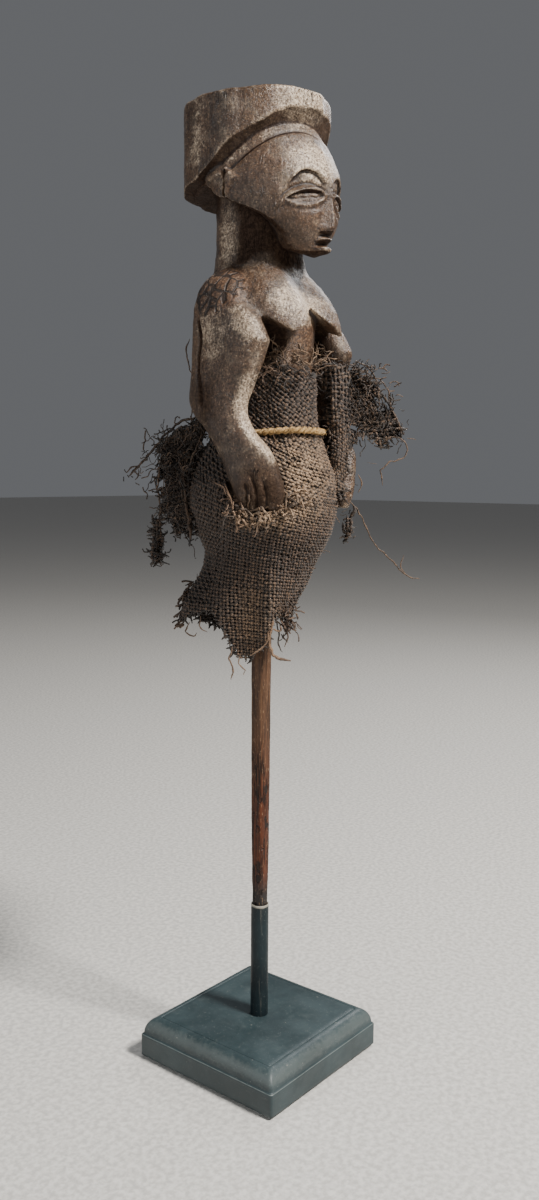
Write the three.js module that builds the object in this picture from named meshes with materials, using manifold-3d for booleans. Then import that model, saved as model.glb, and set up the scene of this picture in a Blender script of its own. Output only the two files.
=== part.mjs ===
// A carved wooden half-figure of a woman, wrapped in burlap, on a stem that drops into the tube of
// a square plinth. Millimetres, +Z up, the figure faces -Y. The origin is the centre of the felt's
// underside. The stem, the figure and its cloth lift out of the tube as one body.
import * as THREE from 'three';
import { mergeVertices } from 'three/addons/utils/BufferGeometryUtils.js';
import Module from 'manifold-3d';

const wasm = await Module();
wasm.setup();

// Stand
const GAP = 0.3; // between pieces that touch
const PLINTH_SIDE = 100;
const PLINTH_TOP = 24.3;
const EDGE_HEIGHT = 15.2; // top of the upright sides, where the ovolo starts
const OVOLO_STEP = 0.8;
const FELT_THICKNESS = 1;
const FELT_MARGIN = 3;
const TUBE_DIAMETER = 10.4;
const TUBE_WALL = 0.5;
const TUBE_TOP = 92.8;
const SOCKET_FLOOR = 14.3; // bottom of the plinth's hole for the tube
const PLUG_TOP = 58;
const STEM_FOOT = 64.8; // 28 mm of stem stands inside the tube
const SCREW = { shank: 3.2, head: 8, headHeight: 2.6, tip: 44 };

// Doll
const STEM_TOP = 318;
const STEM_HALF_WIDTH = 4.8;
const STEM_SQUARENESS = 3.7; // exponent of the section, a square with well-rounded corners
const HAT = { radius: 39, back: 5.4, bottom: 494, top: 541 };
const CLOTH = 1.6; // thickness of the folded burlap
const CLOTH_CLEARANCE = 0.4;
const TWINE = 3.3;
const WAIST = 367;
const RAG_BEARING = 0.88; // the right rag's, from -X towards +Y, in radians
const FLAP_THICKNESS = 3;
const FLAP_TURN = 0.54; // the left rag's plane, from +X towards -Y, in radians

// ---------- shapes ----------

// Closed solid through horizontal rings { z, x, y, rx, ry }; power 2 is an ellipse, more is squarer.
function loft(rings, segments = 24, power = 2) {
  const spans = rings.length - 1;
  const geometry = new THREE.CylinderGeometry(1, 1, spans, segments, spans);
  geometry.rotateX(Math.PI / 2);
  const position = geometry.attributes.position;
  for (let i = 0; i < position.count; i += 1) {
    const ring = rings[Math.round(position.getZ(i) + spans / 2)];
    const c = position.getX(i);
    const s = position.getY(i);
    const onRim = Math.hypot(c, s) > 0.5;
    const reach = onRim ? (Math.abs(c) ** power + Math.abs(s) ** power) ** (-1 / power) : 0;
    position.setXYZ(i, (ring.x ?? 0) + ring.rx * reach * c, (ring.y ?? 0) + ring.ry * reach * s, ring.z);
  }
  return geometry;
}

const grown = (rings, by) => rings.map((ring) => ({ ...ring, rx: ring.rx + by, ry: ring.ry + by }));

function cylinder(radius, bottom, top, segments = 24) {
  return loft([{ z: bottom, rx: radius, ry: radius }, { z: top, rx: radius, ry: radius }], segments);
}

function ball(x, y, z, rx, ry, rz) {
  return new THREE.SphereGeometry(1, 14, 9).rotateX(Math.PI / 2).scale(rx, ry, rz).translate(x, y, z);
}

// Profile of [radius, z] points turned round the Z axis; it closes on itself or on the axis.
function turned(profile, segments = 32) {
  const points = profile.map(([radius, z]) => new THREE.Vector2(radius, z));
  return new THREE.LatheGeometry(points, segments).rotateX(Math.PI / 2);
}

// ---------- joins and cuts ----------

function solid(geometry) {
  const bare = geometry.clone();
  bare.deleteAttribute('normal');
  bare.deleteAttribute('uv');
  const merged = mergeVertices(bare, 1e-4);
  return new wasm.Manifold(new wasm.Mesh({
    numProp: 3,
    vertProperties: merged.attributes.position.array,
    triVerts: new Uint32Array(merged.index.array),
  }));
}

const join = (...geometries) => geometries.map(solid).reduce((whole, piece) => whole.add(piece));

const cut = (body, ...tools) => tools.reduce((left, tool) => left.subtract(tool), body);

function geometryOf(manifold) {
  const mesh = manifold.getMesh();
  const geometry = new THREE.BufferGeometry();
  geometry.setAttribute('position', new THREE.BufferAttribute(mesh.vertProperties, 3));
  geometry.setIndex(new THREE.BufferAttribute(mesh.triVerts, 1));
  geometry.computeVertexNormals();
  return geometry;
}

function addPiece(group, name, shape, material) {
  const geometry = shape instanceof THREE.BufferGeometry ? shape : geometryOf(shape);
  const mesh = new THREE.Mesh(geometry, material);
  mesh.name = name;
  group.add(mesh);
}

const finish = (color, roughness, metalness = 0) => (
  new THREE.MeshStandardMaterial({ color, roughness, metalness })
);

const patinaWood = finish(0x6b5748, 0.7);
const stemWood = finish(0x6f4a35, 0.65);
const burlap = finish(0x57483c, 0.95);
const goldenTwine = finish(0xb0915e, 0.85);
const paint = finish(0x2b3a3c, 0.45);
const steel = finish(0x8a8a86, 0.35, 1);
const plainWood = finish(0xb08a5c, 0.7);
const felt = finish(0x20242a, 0.98);

// ---------- stand ----------

// Upright sides, a small step, then a quarter-round up to the flat top.
function plinthBlock() {
  const half = PLINTH_SIDE / 2;
  const ovolo = PLINTH_TOP - EDGE_HEIGHT;
  const arcSteps = 6;
  const square = (z, reach) => ({ z, rx: reach, ry: reach });
  const rings = [square(FELT_THICKNESS + GAP, half), square(EDGE_HEIGHT, half)];
  for (let i = 0; i <= arcSteps; i += 1) {
    const turn = (Math.PI / 2) * (i / arcSteps);
    const inset = OVOLO_STEP + ovolo * (1 - Math.cos(turn));
    rings.push(square(EDGE_HEIGHT + ovolo * Math.sin(turn), half - inset));
  }
  // Four corners on each ring: they lie on the diagonals, at half the diagonal from the axis.
  const block = loft(rings, 4).scale(Math.SQRT2, Math.SQRT2, 1).rotateZ(Math.PI / 4);
  const socket = cylinder(TUBE_DIAMETER / 2 + GAP, SOCKET_FLOOR, PLINTH_TOP + 5);
  const clearance = turned([
    [0, -1], [SCREW.head / 2 + GAP, -1], [SCREW.head / 2 + GAP, FELT_THICKNESS + 1],
    [SCREW.shank / 2 + GAP, FELT_THICKNESS + 1 + SCREW.headHeight],
    [SCREW.shank / 2 + GAP, SOCKET_FLOOR + 1], [0, SOCKET_FLOOR + 1],
  ]);
  return cut(solid(block), solid(socket), solid(clearance));
}

function mountTube() {
  const outer = TUBE_DIAMETER / 2;
  const inner = outer - TUBE_WALL;
  const foot = SOCKET_FLOOR + GAP;
  return turned([[inner, foot], [outer, foot], [outer, TUBE_TOP], [inner, TUBE_TOP], [inner, foot]]);
}

function tubePlug() {
  const radius = TUBE_DIAMETER / 2 - TUBE_WALL - GAP;
  const pilot = cylinder(SCREW.shank / 2 + GAP, SOCKET_FLOOR - 5, SCREW.tip + 1, 16);
  return cut(solid(cylinder(radius, SOCKET_FLOOR + GAP, PLUG_TOP)), solid(pilot));
}

// Countersunk: a cone under a flat head, sunk just above the felt, and a plain shank with a point.
function mountScrew() {
  const seat = FELT_THICKNESS + 0.7;
  const cone = seat + SCREW.headHeight - 0.4;
  return turned([
    [0, seat], [SCREW.head / 2 - GAP, seat], [SCREW.shank / 2, cone],
    [SCREW.shank / 2, SCREW.tip - 3], [0, SCREW.tip],
  ], 20);
}

function feltPad() {
  const side = PLINTH_SIDE - 2 * FELT_MARGIN;
  return new THREE.BoxGeometry(side, side, FELT_THICKNESS).translate(0, 0, FELT_THICKNESS / 2);
}

// ---------- figure ----------

// Bottom of the hips up to the base of the neck.
const TORSO = [
  { z: 288, y: 3, rx: 16, ry: 17 },
  { z: 296, y: 2, rx: 25, ry: 26 },
  { z: 310, y: 0, rx: 32, ry: 34 },
  { z: 325, y: -1, rx: 36, ry: 38 },
  { z: 340, y: -1.5, rx: 36, ry: 38 },
  { z: 354, y: -2, rx: 30, ry: 33 },
  { z: WAIST, y: -3, rx: 24, ry: 29 },
  { z: 385, y: -2.5, rx: 23.5, ry: 26 },
  { z: 408, y: -3, rx: 26, ry: 27 },
  { z: 425, y: -3, rx: 31, ry: 28 },
  { z: 438, y: -3, rx: 34, ry: 28 },
  { z: 448, y: -4, rx: 31, ry: 27 },
  { z: 456, y: -3, rx: 23, ry: 23 },
];

// The figure's left arm, from the shoulder down and forward to the wrist; the right one mirrors it.
const ARM = [
  { z: 340, x: 32, y: -28, rx: 7, ry: 10 },
  { z: 355, x: 38, y: -21, rx: 7.5, ry: 12.5 },
  { z: 370, x: 40.5, y: -14, rx: 7.5, ry: 14 },
  { z: 385, x: 41, y: -9, rx: 8, ry: 17 },
  { z: 400, x: 40.5, y: -7, rx: 8.5, ry: 19 },
  { z: 420, x: 39, y: -3, rx: 9.5, ry: 20 },
  { z: 437, x: 36, y: 0, rx: 10, ry: 16 },
  { z: 447, x: 32, y: 0, rx: 6, ry: 9 },
];

const HAND = { x: 26, y: -32, z: 338, rx: 17, ry: 8, rz: 14, turn: 0.72 };

const HEAD = [
  { z: 458, y: -32, rx: 9, ry: 6 },
  { z: 464, y: -29, rx: 15, ry: 11 },
  { z: 470, y: -25, rx: 22, ry: 16 },
  { z: 478, y: -18, rx: 30, ry: 22 },
  { z: 487, y: -11, rx: 33, ry: 29 },
  { z: 497, y: -4, rx: 33.5, ry: 37 },
  { z: 507, y: -3, rx: 33.5, ry: 38.5 },
  { z: 517, y: -1, rx: 32, ry: 38 },
  { z: 526, y: 3, rx: 29, ry: 34 },
  { z: 534, y: 5, rx: 25, ry: 30 },
];

const NECK = [
  { z: 444, y: 2, rx: 23.5, ry: 24 },
  { z: 470, y: 3.5, rx: 22, ry: 23 },
  { z: 502, y: 5, rx: 23, ry: 25 },
];

function mirrored(rings) {
  return rings.map((ring) => ({ ...ring, x: -ring.x }));
}

function hand(side, clearance) {
  const shape = ball(0, 0, 0, HAND.rx + clearance, HAND.ry + clearance, HAND.rz + clearance);
  return shape.rotateZ(side * HAND.turn).translate(side * HAND.x, HAND.y, HAND.z);
}

// Both arms with their hands, grown by a clearance for cutting what they pass through.
function arms(clearance = 0) {
  return join(
    loft(grown(ARM, clearance), 16),
    loft(grown(mirrored(ARM), clearance), 16),
    hand(1, clearance),
    hand(-1, clearance),
  );
}

// A drum whose underside slopes from a shallow rim over the forehead to a deep back.
function headdress() {
  const drum = cylinder(HAT.radius, HAT.bottom, HAT.top, 30).translate(0, HAT.back, 0);
  const underside = new THREE.Shape([
    new THREE.Vector2(60, 532), new THREE.Vector2(24, 529), new THREE.Vector2(-14, 501),
    new THREE.Vector2(-60, 496), new THREE.Vector2(-60, 470), new THREE.Vector2(60, 470),
  ]);
  const width = 3 * HAT.radius;
  const cutter = new THREE.ExtrudeGeometry(underside, { depth: width, bevelEnabled: false });
  // The outline's forward axis becomes -Y, its height stays Z, and it is extruded along X.
  cutter.translate(0, 0, -width / 2).rotateX(Math.PI / 2).rotateZ(-Math.PI / 2);
  return cut(solid(drum), solid(cutter));
}

// Cone from the middle of its base to its tip.
function cone(base, tip, radius) {
  const from = new THREE.Vector3(...base);
  const along = new THREE.Vector3(...tip).sub(from);
  const geometry = new THREE.ConeGeometry(radius, along.length(), 14).translate(0, along.length() / 2, 0);
  const up = new THREE.Vector3(0, 1, 0);
  geometry.applyQuaternion(new THREE.Quaternion().setFromUnitVectors(up, along.normalize()));
  return geometry.translate(from.x, from.y, from.z);
}

function figureBody() {
  const nose = loft([
    { z: 470, y: -39, rx: 5.5, ry: 6.5 },
    { z: 486, y: -40, rx: 3, ry: 5 },
    { z: 504, y: -39, rx: 2.5, ry: 4 },
  ], 12);
  const lips = ball(0, -36, 464, 8, 6, 4.5);
  const breasts = [-1, 1].map((side) => cone([side * 24, -16, 431], [side * 18, -41, 420], 15));
  const whole = join(loft(TORSO), loft(NECK, 16), loft(HEAD), nose, lips, ...breasts);
  const half = STEM_HALF_WIDTH + GAP;
  const mortise = loft([
    { z: TORSO[0].z - 5, rx: half, ry: half },
    { z: STEM_TOP + GAP, rx: half, ry: half },
  ], 16, STEM_SQUARENESS);
  return cut(whole.add(arms()).add(headdress()), solid(mortise));
}

// Squarish rod, thinner towards its foot; it ends in a mortise inside the hips.
function stem() {
  const square = (z, share) => ({ z, rx: STEM_HALF_WIDTH * share, ry: STEM_HALF_WIDTH * share });
  return loft([
    square(STEM_FOOT, 0.72), square(93, 0.77), square(130, 0.89),
    square(168, 0.96), square(240, 1), square(STEM_TOP, 1),
  ], 16, STEM_SQUARENESS);
}

// ---------- cloth ----------

// Outside of the cloth below the hips, where it hangs in towards the stem and a little to one side.
const SKIRT = [
  { z: 246, x: -2, y: 2, rx: 12, ry: 12 },
  { z: 262, x: -5, y: 6, rx: 20, ry: 20 },
  { z: 276, x: -5, y: 6, rx: 24.5, ry: 24.5 },
  { z: 292, x: -2, y: 3, rx: 28.5, ry: 29.5 },
];
const CLOTH_TOP = 408;
const HIP = 310;

function clothOutside() {
  const onBody = TORSO.filter((ring) => ring.z >= HIP && ring.z <= CLOTH_TOP);
  return [...SKIRT, ...grown(onBody, CLOTH_CLEARANCE + CLOTH)];
}

// A tube of cloth from under the breasts to below the hips, open round the forearms and hands.
function wrapCloth() {
  const outside = clothOutside();
  const first = outside[0];
  const last = outside[outside.length - 1];
  const through = [{ ...first, z: first.z - 3 }, ...outside, { ...last, z: last.z + 3 }];
  const tube = cut(solid(loft(outside)), solid(loft(grown(through, -CLOTH))), arms(CLOTH_CLEARANCE));
  return tube.decompose().sort((a, b) => b.volume() - a.volume())[0];
}

// Round bar along a smooth line through the points.
function bar(points, diameter, sides = 8) {
  const path = new THREE.CatmullRomCurve3(points.map((point) => new THREE.Vector3(...point)));
  const outline = new THREE.Path().absarc(0, 0, diameter / 2, 0, 2 * Math.PI);
  const section = new THREE.Shape(outline.getPoints(sides));
  return new THREE.ExtrudeGeometry(section, { extrudePath: path, steps: 8, bevelEnabled: false });
}

// A loop of twine that follows the waist over the cloth, with its knot and two short ends behind.
function waistCord() {
  const waist = TORSO.find((ring) => ring.z === WAIST);
  const stand = CLOTH_CLEARANCE + CLOTH + TWINE / 2;
  const [rx, ry] = [waist.rx + stand, waist.ry + stand];
  const mean = (rx + ry) / 2;
  const loop = new THREE.TorusGeometry(mean, TWINE / 2, 8, 36).scale(rx / mean, ry / mean, 1);
  loop.translate(0, waist.y, WAIST);
  const back = waist.y + ry;
  const knot = ball(0, back + 1.5, WAIST, 4.5, 3.5, 3.5);
  const ends = [-1, 1].map((side) => bar([
    [side * 1.5, back + 1.5, WAIST], [side * 4, back + 5.5, WAIST - 5], [side * 6, back + 7.5, WAIST - 15],
  ], TWINE));
  return cut(join(loop, knot, ...ends), solid(loft(grown(clothOutside(), GAP))));
}

// Torn end of the cloth that hangs behind the figure's right arm, thick at its middle. Its rings are
// [z, distance from the axis, radius], all on one bearing.
function rightRag() {
  const droop = [
    [289, 60, 4], [300, 57, 8], [318, 54, 11], [335, 54, 13],
    [350, 53, 11], [360, 47, 10], [368, 40, 7],
  ];
  const rings = droop.map(([z, out, radius]) => (
    { z, x: -out * Math.cos(RAG_BEARING), y: out * Math.sin(RAG_BEARING), rx: radius, ry: radius }
  ));
  return clearOfBody(loft(rings, 16));
}

// Torn flap that comes forward out of the gap between the figure's left arm and its body.
function leftRag() {
  const outline = new THREE.Shape([
    [0, 396], [12, 400], [21, 401], [31, 393], [40, 382], [48, 369],
    [47, 364], [35, 362], [23, 357], [15, 346], [6, 350],
  ].map(([along, z]) => new THREE.Vector2(along, z)));
  const flap = new THREE.ExtrudeGeometry(outline, { depth: FLAP_THICKNESS, bevelEnabled: false });
  return clearOfBody(flap.rotateX(Math.PI / 2).rotateZ(-FLAP_TURN).translate(24, -30, 0));
}

// A soft piece cut back from the cloth round the body and from the arms; its largest part is kept.
function clearOfBody(geometry) {
  const left = cut(solid(geometry), solid(loft(grown(clothOutside(), 2 * GAP))), arms(2 * GAP));
  return left.decompose().sort((a, b) => b.volume() - a.volume())[0];
}

// ---------- assembly ----------

const stand = new THREE.Group();
addPiece(stand, 'plinth_block', plinthBlock(), paint);
addPiece(stand, 'felt_pad', feltPad(), felt);
addPiece(stand, 'mount_tube', mountTube(), paint);
addPiece(stand, 'tube_plug', tubePlug(), plainWood);
addPiece(stand, 'mount_screw', mountScrew(), steel);

const doll = new THREE.Group();
addPiece(doll, 'stem', stem(), stemWood);
addPiece(doll, 'figure', figureBody(), patinaWood);
addPiece(doll, 'wrap_cloth', wrapCloth(), burlap);
addPiece(doll, 'waist_cord', waistCord(), goldenTwine);
addPiece(doll, 'right_rag', rightRag(), burlap);
addPiece(doll, 'left_rag', leftRag(), burlap);

const model = new THREE.Group();
model.add(stand, doll);

export default model;
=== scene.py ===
"""A carved wooden half-figure wrapped in torn burlap, on a stem in the tube of a square plinth.

Shapes are worked out in millimetres in the row frame (the figure faces -Y) and written in metres.
"""
import math

import bpy
import numpy as np
from mathutils import Matrix, Vector


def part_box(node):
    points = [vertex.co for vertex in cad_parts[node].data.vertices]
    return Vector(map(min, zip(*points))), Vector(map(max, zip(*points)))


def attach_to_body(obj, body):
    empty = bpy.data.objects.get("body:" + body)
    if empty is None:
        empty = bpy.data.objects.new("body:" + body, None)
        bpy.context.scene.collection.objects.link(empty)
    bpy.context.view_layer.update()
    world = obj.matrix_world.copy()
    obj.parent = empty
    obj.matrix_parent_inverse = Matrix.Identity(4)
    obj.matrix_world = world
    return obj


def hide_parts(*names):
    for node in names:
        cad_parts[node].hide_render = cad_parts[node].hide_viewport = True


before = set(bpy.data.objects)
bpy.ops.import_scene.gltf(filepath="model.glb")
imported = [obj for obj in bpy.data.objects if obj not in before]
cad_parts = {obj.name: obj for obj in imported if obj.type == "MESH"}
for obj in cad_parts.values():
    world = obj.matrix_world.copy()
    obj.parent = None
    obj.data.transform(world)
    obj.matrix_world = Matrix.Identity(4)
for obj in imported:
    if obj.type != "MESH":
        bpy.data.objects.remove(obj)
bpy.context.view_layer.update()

MM = 0.001


def box_mm(node):
    """Lowest and highest corner of a CAD node, in millimetres."""
    low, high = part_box(node)
    return np.array(low) / MM, np.array(high) / MM


PLINTH_LOW, PLINTH_HIGH = box_mm("plinth_block")
TUBE_LOW, TUBE_HIGH = box_mm("mount_tube")
STEM_LOW, STEM_HIGH = box_mm("stem")
KNOT_RADIUS = 3.5
CROWN = box_mm("figure")[1][2]  # flat top of the headdress
WAIST = box_mm("waist_cord")[1][2] - KNOT_RADIUS  # the knot is the highest point of the cord node


def attach(piece, body, node):
    """Rides the piece on its body, in the place of its CAD node, which it hides."""
    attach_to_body(piece, body)
    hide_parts(node)


# ---------------------------------------------------------------- noise and small maths

def lattice(ix, iy, iz, seed):
    """Repeatable value in 0..1 for each whole-number cell."""
    h = (ix.astype(np.int64) * 374761393 + iy.astype(np.int64) * 668265263
         + iz.astype(np.int64) * 2147483647 + seed * 1274126177) & 0xFFFFFFFF
    h = ((h ^ (h >> 13)) * 1274126177) & 0xFFFFFFFF
    return ((h ^ (h >> 16)) & 0xFFFF) / 65535.0


def noise(points, size, seed=0):
    """Smooth value noise in -1..1 at (n, 3) points, with cells of the given size."""
    q = np.asarray(points) / size
    base = np.floor(q)
    t = q - base
    t = t * t * (3 - 2 * t)
    ix, iy, iz = base[:, 0], base[:, 1], base[:, 2]
    total = 0
    for dx in (0, 1):
        wx = t[:, 0] if dx else 1 - t[:, 0]
        for dy in (0, 1):
            wy = t[:, 1] if dy else 1 - t[:, 1]
            for dz in (0, 1):
                wz = t[:, 2] if dz else 1 - t[:, 2]
                total = total + wx * wy * wz * lattice(ix + dx, iy + dy, iz + dz, seed)
    return total * 2 - 1


def layered_noise(points, size, octaves=3, seed=0):
    total = 0
    for octave in range(octaves):
        total = total + noise(points, size / 2 ** octave, seed + octave) / 2 ** octave
    return total


def smoothstep(low, high, value):
    t = np.clip((value - low) / (high - low), 0, 1)
    return t * t * (3 - 2 * t)


def bump(distance, width):
    """Rounded hill of height 1 at distance 0 that ends at the given width."""
    t = np.clip(1 - (distance / width) ** 2, 0, None)
    return t * t


def smooth_min(a, b, blend):
    """The smaller of a and b, with the corner rounded over the blend."""
    h = np.clip(0.5 + 0.5 * (a - b) / blend, 0, 1)
    return a * (1 - h) + b * h - blend * h * (1 - h)


def smooth_table(stations, width=6.0):
    """Function of z through {z: value} stations, with its corners rounded over the given width."""
    zs = np.array(sorted(stations), float)
    values = np.array([stations[z] for z in sorted(stations)], float)
    fine = np.arange(zs[0] - 3 * width, zs[-1] + 3 * width, 0.5)
    raw = np.interp(fine, zs, values)
    size = int(width / 0.5) | 1
    window = np.hanning(size + 2)[1:-1]
    smooth = np.convolve(np.pad(raw, size // 2, mode="edge"), window / window.sum(), mode="valid")
    return lambda z: np.interp(z, fine, smooth)


def profile(rows, width=6.0):
    """One smooth function of z for each column after the first of the rows."""
    columns = list(zip(*rows))
    return [smooth_table(dict(zip(columns[0], column)), width) for column in columns[1:]]


# ---------------------------------------------------------------- solid field and its surface

class Field:
    """Signed distances on a grid in (x, front, z), built by joining and carving; negative is inside."""

    def __init__(self, low, high, step):
        self.step = step
        self.low = np.array(low, float)
        counts = np.ceil((np.array(high) - self.low) / step).astype(int) + 1
        self.axes = [self.low[k] + step * np.arange(counts[k]) for k in range(3)]
        self.d = np.full(counts, 9.0, np.float32)

    def window(self, low, high):
        """Slices of the grid between two corners, and the coordinates along them."""
        spans = []
        for k in range(3):
            first = np.searchsorted(self.axes[k], low[k])
            last = np.searchsorted(self.axes[k], high[k])
            spans.append(slice(max(first - 1, 0), last + 1))
        x = self.axes[0][spans[0]].astype(np.float32)[:, None, None]
        f = self.axes[1][spans[1]].astype(np.float32)[None, :, None]
        z = self.axes[2][spans[2]].astype(np.float32)[None, None, :]
        return tuple(spans), x, f, z

    def join(self, low, high, shape, blend=2.0):
        span, x, f, z = self.window(low, high)
        self.d[span] = smooth_min(self.d[span], shape(x, f, z), blend)

    def carve(self, low, high, shape, blend=1.0):
        span, x, f, z = self.window(low, high)
        self.d[span] = -smooth_min(-self.d[span], shape(x, f, z), blend)

    def raise_by(self, low, high, relief):
        """Moves the surface outward by relief, in millimetres."""
        span, x, f, z = self.window(low, high)
        self.d[span] -= relief(x, f, z)

    def surface(self):
        """Vertices (x, y, z) and quads of the zero surface, by surface nets."""
        d = self.d
        inside = d < 0
        corners = [(i, j, k) for i in (0, 1) for j in (0, 1) for k in (0, 1)]
        nx, ny, nz = (n - 1 for n in d.shape)
        count = np.zeros((nx, ny, nz), np.uint8)
        for i, j, k in corners:
            count += inside[i:i + nx, j:j + ny, k:k + nz]
        cells = np.argwhere((count > 0) & (count < 8))
        number = np.full((nx, ny, nz), -1, np.int32)
        number[tuple(cells.T)] = np.arange(len(cells))
        total = np.zeros((len(cells), 3))
        hits = np.zeros(len(cells))
        for a in corners:
            for axis in range(3):
                if a[axis]:
                    continue
                b = list(a)
                b[axis] = 1
                da = d[tuple((cells + a).T)]
                db = d[tuple((cells + b).T)]
                cross = (da < 0) != (db < 0)
                t = np.where(cross, da / np.where(cross, da - db, 1), 0)
                total += cross[:, None] * np.array(a, float)
                total[:, axis] += cross * t
                hits += cross
        vertices = self.low + (cells + total / hits[:, None]) * self.step
        quads = []
        for axis in range(3):
            u, v = [k for k in range(3) if k != axis]
            ahead = [slice(None)] * 3
            behind = [slice(None)] * 3
            ahead[axis] = slice(1, None)
            behind[axis] = slice(None, -1)
            flips = inside[tuple(behind)] != inside[tuple(ahead)]
            edges = np.argwhere(flips)
            edges = edges[(edges[:, u] > 0) & (edges[:, v] > 0)]
            edges = edges[(edges[:, u] < number.shape[u]) & (edges[:, v] < number.shape[v])]
            step_u = np.eye(3, dtype=int)[u]
            step_v = np.eye(3, dtype=int)[v]
            ring = [edges - step_u - step_v, edges - step_v, edges, edges - step_u]
            quad = np.stack([number[tuple(cell.T)] for cell in ring], axis=1)
            leaving = inside[tuple(edges.T)]
            flip = leaving if axis == 1 else ~leaving
            quad[flip] = quad[flip][:, ::-1]
            quads.append(quad)
        vertices[:, 1] *= -1
        return vertices, np.concatenate(quads)[:, ::-1]


def neighbour_mean(values, faces, count):
    """Mean of each vertex's neighbours along the faces' edges."""
    a = faces.ravel()
    b = np.roll(faces, -1, axis=1).ravel()
    total = np.zeros((count, values.shape[1]))
    for column in range(values.shape[1]):
        total[:, column] = (np.bincount(a, values[b, column], count)
                            + np.bincount(b, values[a, column], count))
    weight = np.bincount(a, minlength=count) + np.bincount(b, minlength=count)
    return total / np.maximum(weight, 1)[:, None]


def vertex_normals(vertices, faces):
    p = vertices[faces]
    normal = np.cross(p[:, 2] - p[:, 0], p[:, 3 % faces.shape[1]] - p[:, 1])
    total = np.zeros_like(vertices)
    for corner in range(faces.shape[1]):
        for axis in range(3):
            total[:, axis] += np.bincount(faces[:, corner], normal[:, axis], len(vertices))
    return total / np.maximum(np.linalg.norm(total, axis=1), 1e-9)[:, None]


# ---------------------------------------------------------------- carved figure

def oval(x, f, half_x, half_f, power=2.2):
    """Rough signed distance from an oval section."""
    reach = (np.abs(x / half_x) ** power + np.abs(f / half_f) ** power) ** (1 / power)
    return (reach - 1) * np.minimum(half_x, half_f)


def slab(value, z, low, high):
    return np.maximum(value, np.maximum(low - z, z - high))


# z, half-width, front, back
TORSO = [
    (286, 15, 12, 18), (290, 20, 18, 22), (298, 27, 27, 29), (310, 32, 34, 33), (325, 35.5, 38.5, 36),
    (340, 35.5, 39, 36), (354, 30, 34.5, 31), (367, 24, 31, 26), (385, 23, 28.5, 24), (408, 23, 29.5, 25),
    (422, 22.5, 31, 26), (436, 24, 30, 26), (446, 25, 24, 22), (455, 21, 19, 20), (460, 19, 17, 18),
]

# z, half-width, front, back
CHEST = [
    (400, 30, 40, 26), (415, 33, 42.5, 27), (420, 34.5, 42.5, 27), (426, 35, 40.5, 27), (433, 35, 37.5, 27),
    (440, 33.5, 33, 26), (446, 31, 28.5, 25), (450, 28, 24.5, 25), (455, 22.5, 20, 24), (460, 20, 18, 23),
]

# z, middle x, middle front, half-thickness, half-breadth, turn inward in degrees
ARM = [
    (455, 23, -5, 0.6, 1, 0), (451, 27, -3, 4.5, 7, 0), (447, 30, -2, 7.5, 11, 0),
    (442, 32.5, -1, 9, 14, 0), (433, 35.5, 0.5, 9.5, 16, 0), (425, 36.5, 5, 9.5, 21, 0),
    (413, 37, 8.5, 9, 25, 0), (403, 37.5, 6.5, 8.5, 23, 0), (392, 38, 3.5, 8, 21, 0),
    (383, 38.5, 1, 8, 19, 0), (376, 38.5, 2.5, 8, 17, 0), (370, 38.5, 7.5, 8, 14, 3),
    (364, 37.5, 12, 8, 14, 7), (357, 36, 17, 7.5, 15, 13), (350, 34.2, 19.6, 7.5, 14.6, 20),
    (342, 32.4, 22.2, 7.5, 13.9, 28), (334, 30.6, 23.8, 7, 13.7, 32), (326, 30, 23.4, 4.5, 11.2, 32),
]

# z, half-width, front, back
HEAD = [
    (452, 7, 32, 4), (459, 11.5, 37, 10), (464, 17, 39.5, 18), (471, 25, 42.5, 25), (479, 31.3, 44, 30),
    (488, 34, 45, 33), (497, 34.2, 44.8, 34), (503, 33.8, 43.4, 34), (511, 32.3, 39.6, 33.5),
    (518, 31, 35.5, 33), (524, 30, 30.5, 32), (532, 26, 26, 30), (538, 22, 22, 29),
]


def torso(x, f, z):
    half_width, front, back = (column(z) for column in profile(TORSO))
    middle = (front - back) / 2
    return slab(oval(x, f - middle, half_width, (front + back) / 2, 2.1), z, TORSO[0][0], TORSO[-1][0])


def chest(x, f, z):
    """Shoulders and the pointed plate of the chest, whose lower edge is a W, undercut behind."""
    half_width, front, back = (column(z) for column in profile(CHEST, 4.0))
    ax = np.abs(x)
    front = front * (1 - 0.12 * bump(x, 15.0))
    body = oval(x, f, half_width, np.where(f > 0, front, back), 2.9)
    edge = np.interp(ax, [0, 6, 14, 20.8, 26, 32, 36], [431.5, 427.5, 422, 418.3, 420.5, 423, 425])
    edge = edge + 0.07 * np.clip(x, 0, 30)
    edge = edge + 0.3 * np.clip(38 - f, 0, 24) - 2.4 * np.clip(12 - f, 0, 30)
    return slab(np.maximum(body, (edge - z) * 0.8), z, 404, 460)


def turned_in(px, pf, degrees):
    """Distances across and along a section of the arm that is turned inward."""
    turn = np.radians(degrees)
    return px * np.cos(turn) + pf * np.sin(turn), -px * np.sin(turn) + pf * np.cos(turn)


def arm(x, f, z):
    middle_x, middle_f, thick, broad, turn = (column(z) for column in profile(ARM, 8.0))
    # The left forearm is held a little further out.
    out = smoothstep(-5, 5, x) * smoothstep(398, 362, z)
    across, along = turned_in(np.abs(x) - middle_x - 2.5 * out, f - middle_f - 5.0 * out, turn)
    return slab(oval(across, along, thick, broad, 2.6), z, ARM[-1][0], ARM[0][0])


NECK_BACK = 3.0  # the neck's middle is this far behind the axis


# Degrees round the neck from straight ahead, and the jaw's lower edge there.
JAW_TURN = [0, 12, 18, 24, 30, 38, 50, 65, 84, 110, 180]
JAW_EDGE = [460.5, 460.5, 461, 464.5, 469.5, 474, 479, 483, 488, 497, 497]


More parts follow.
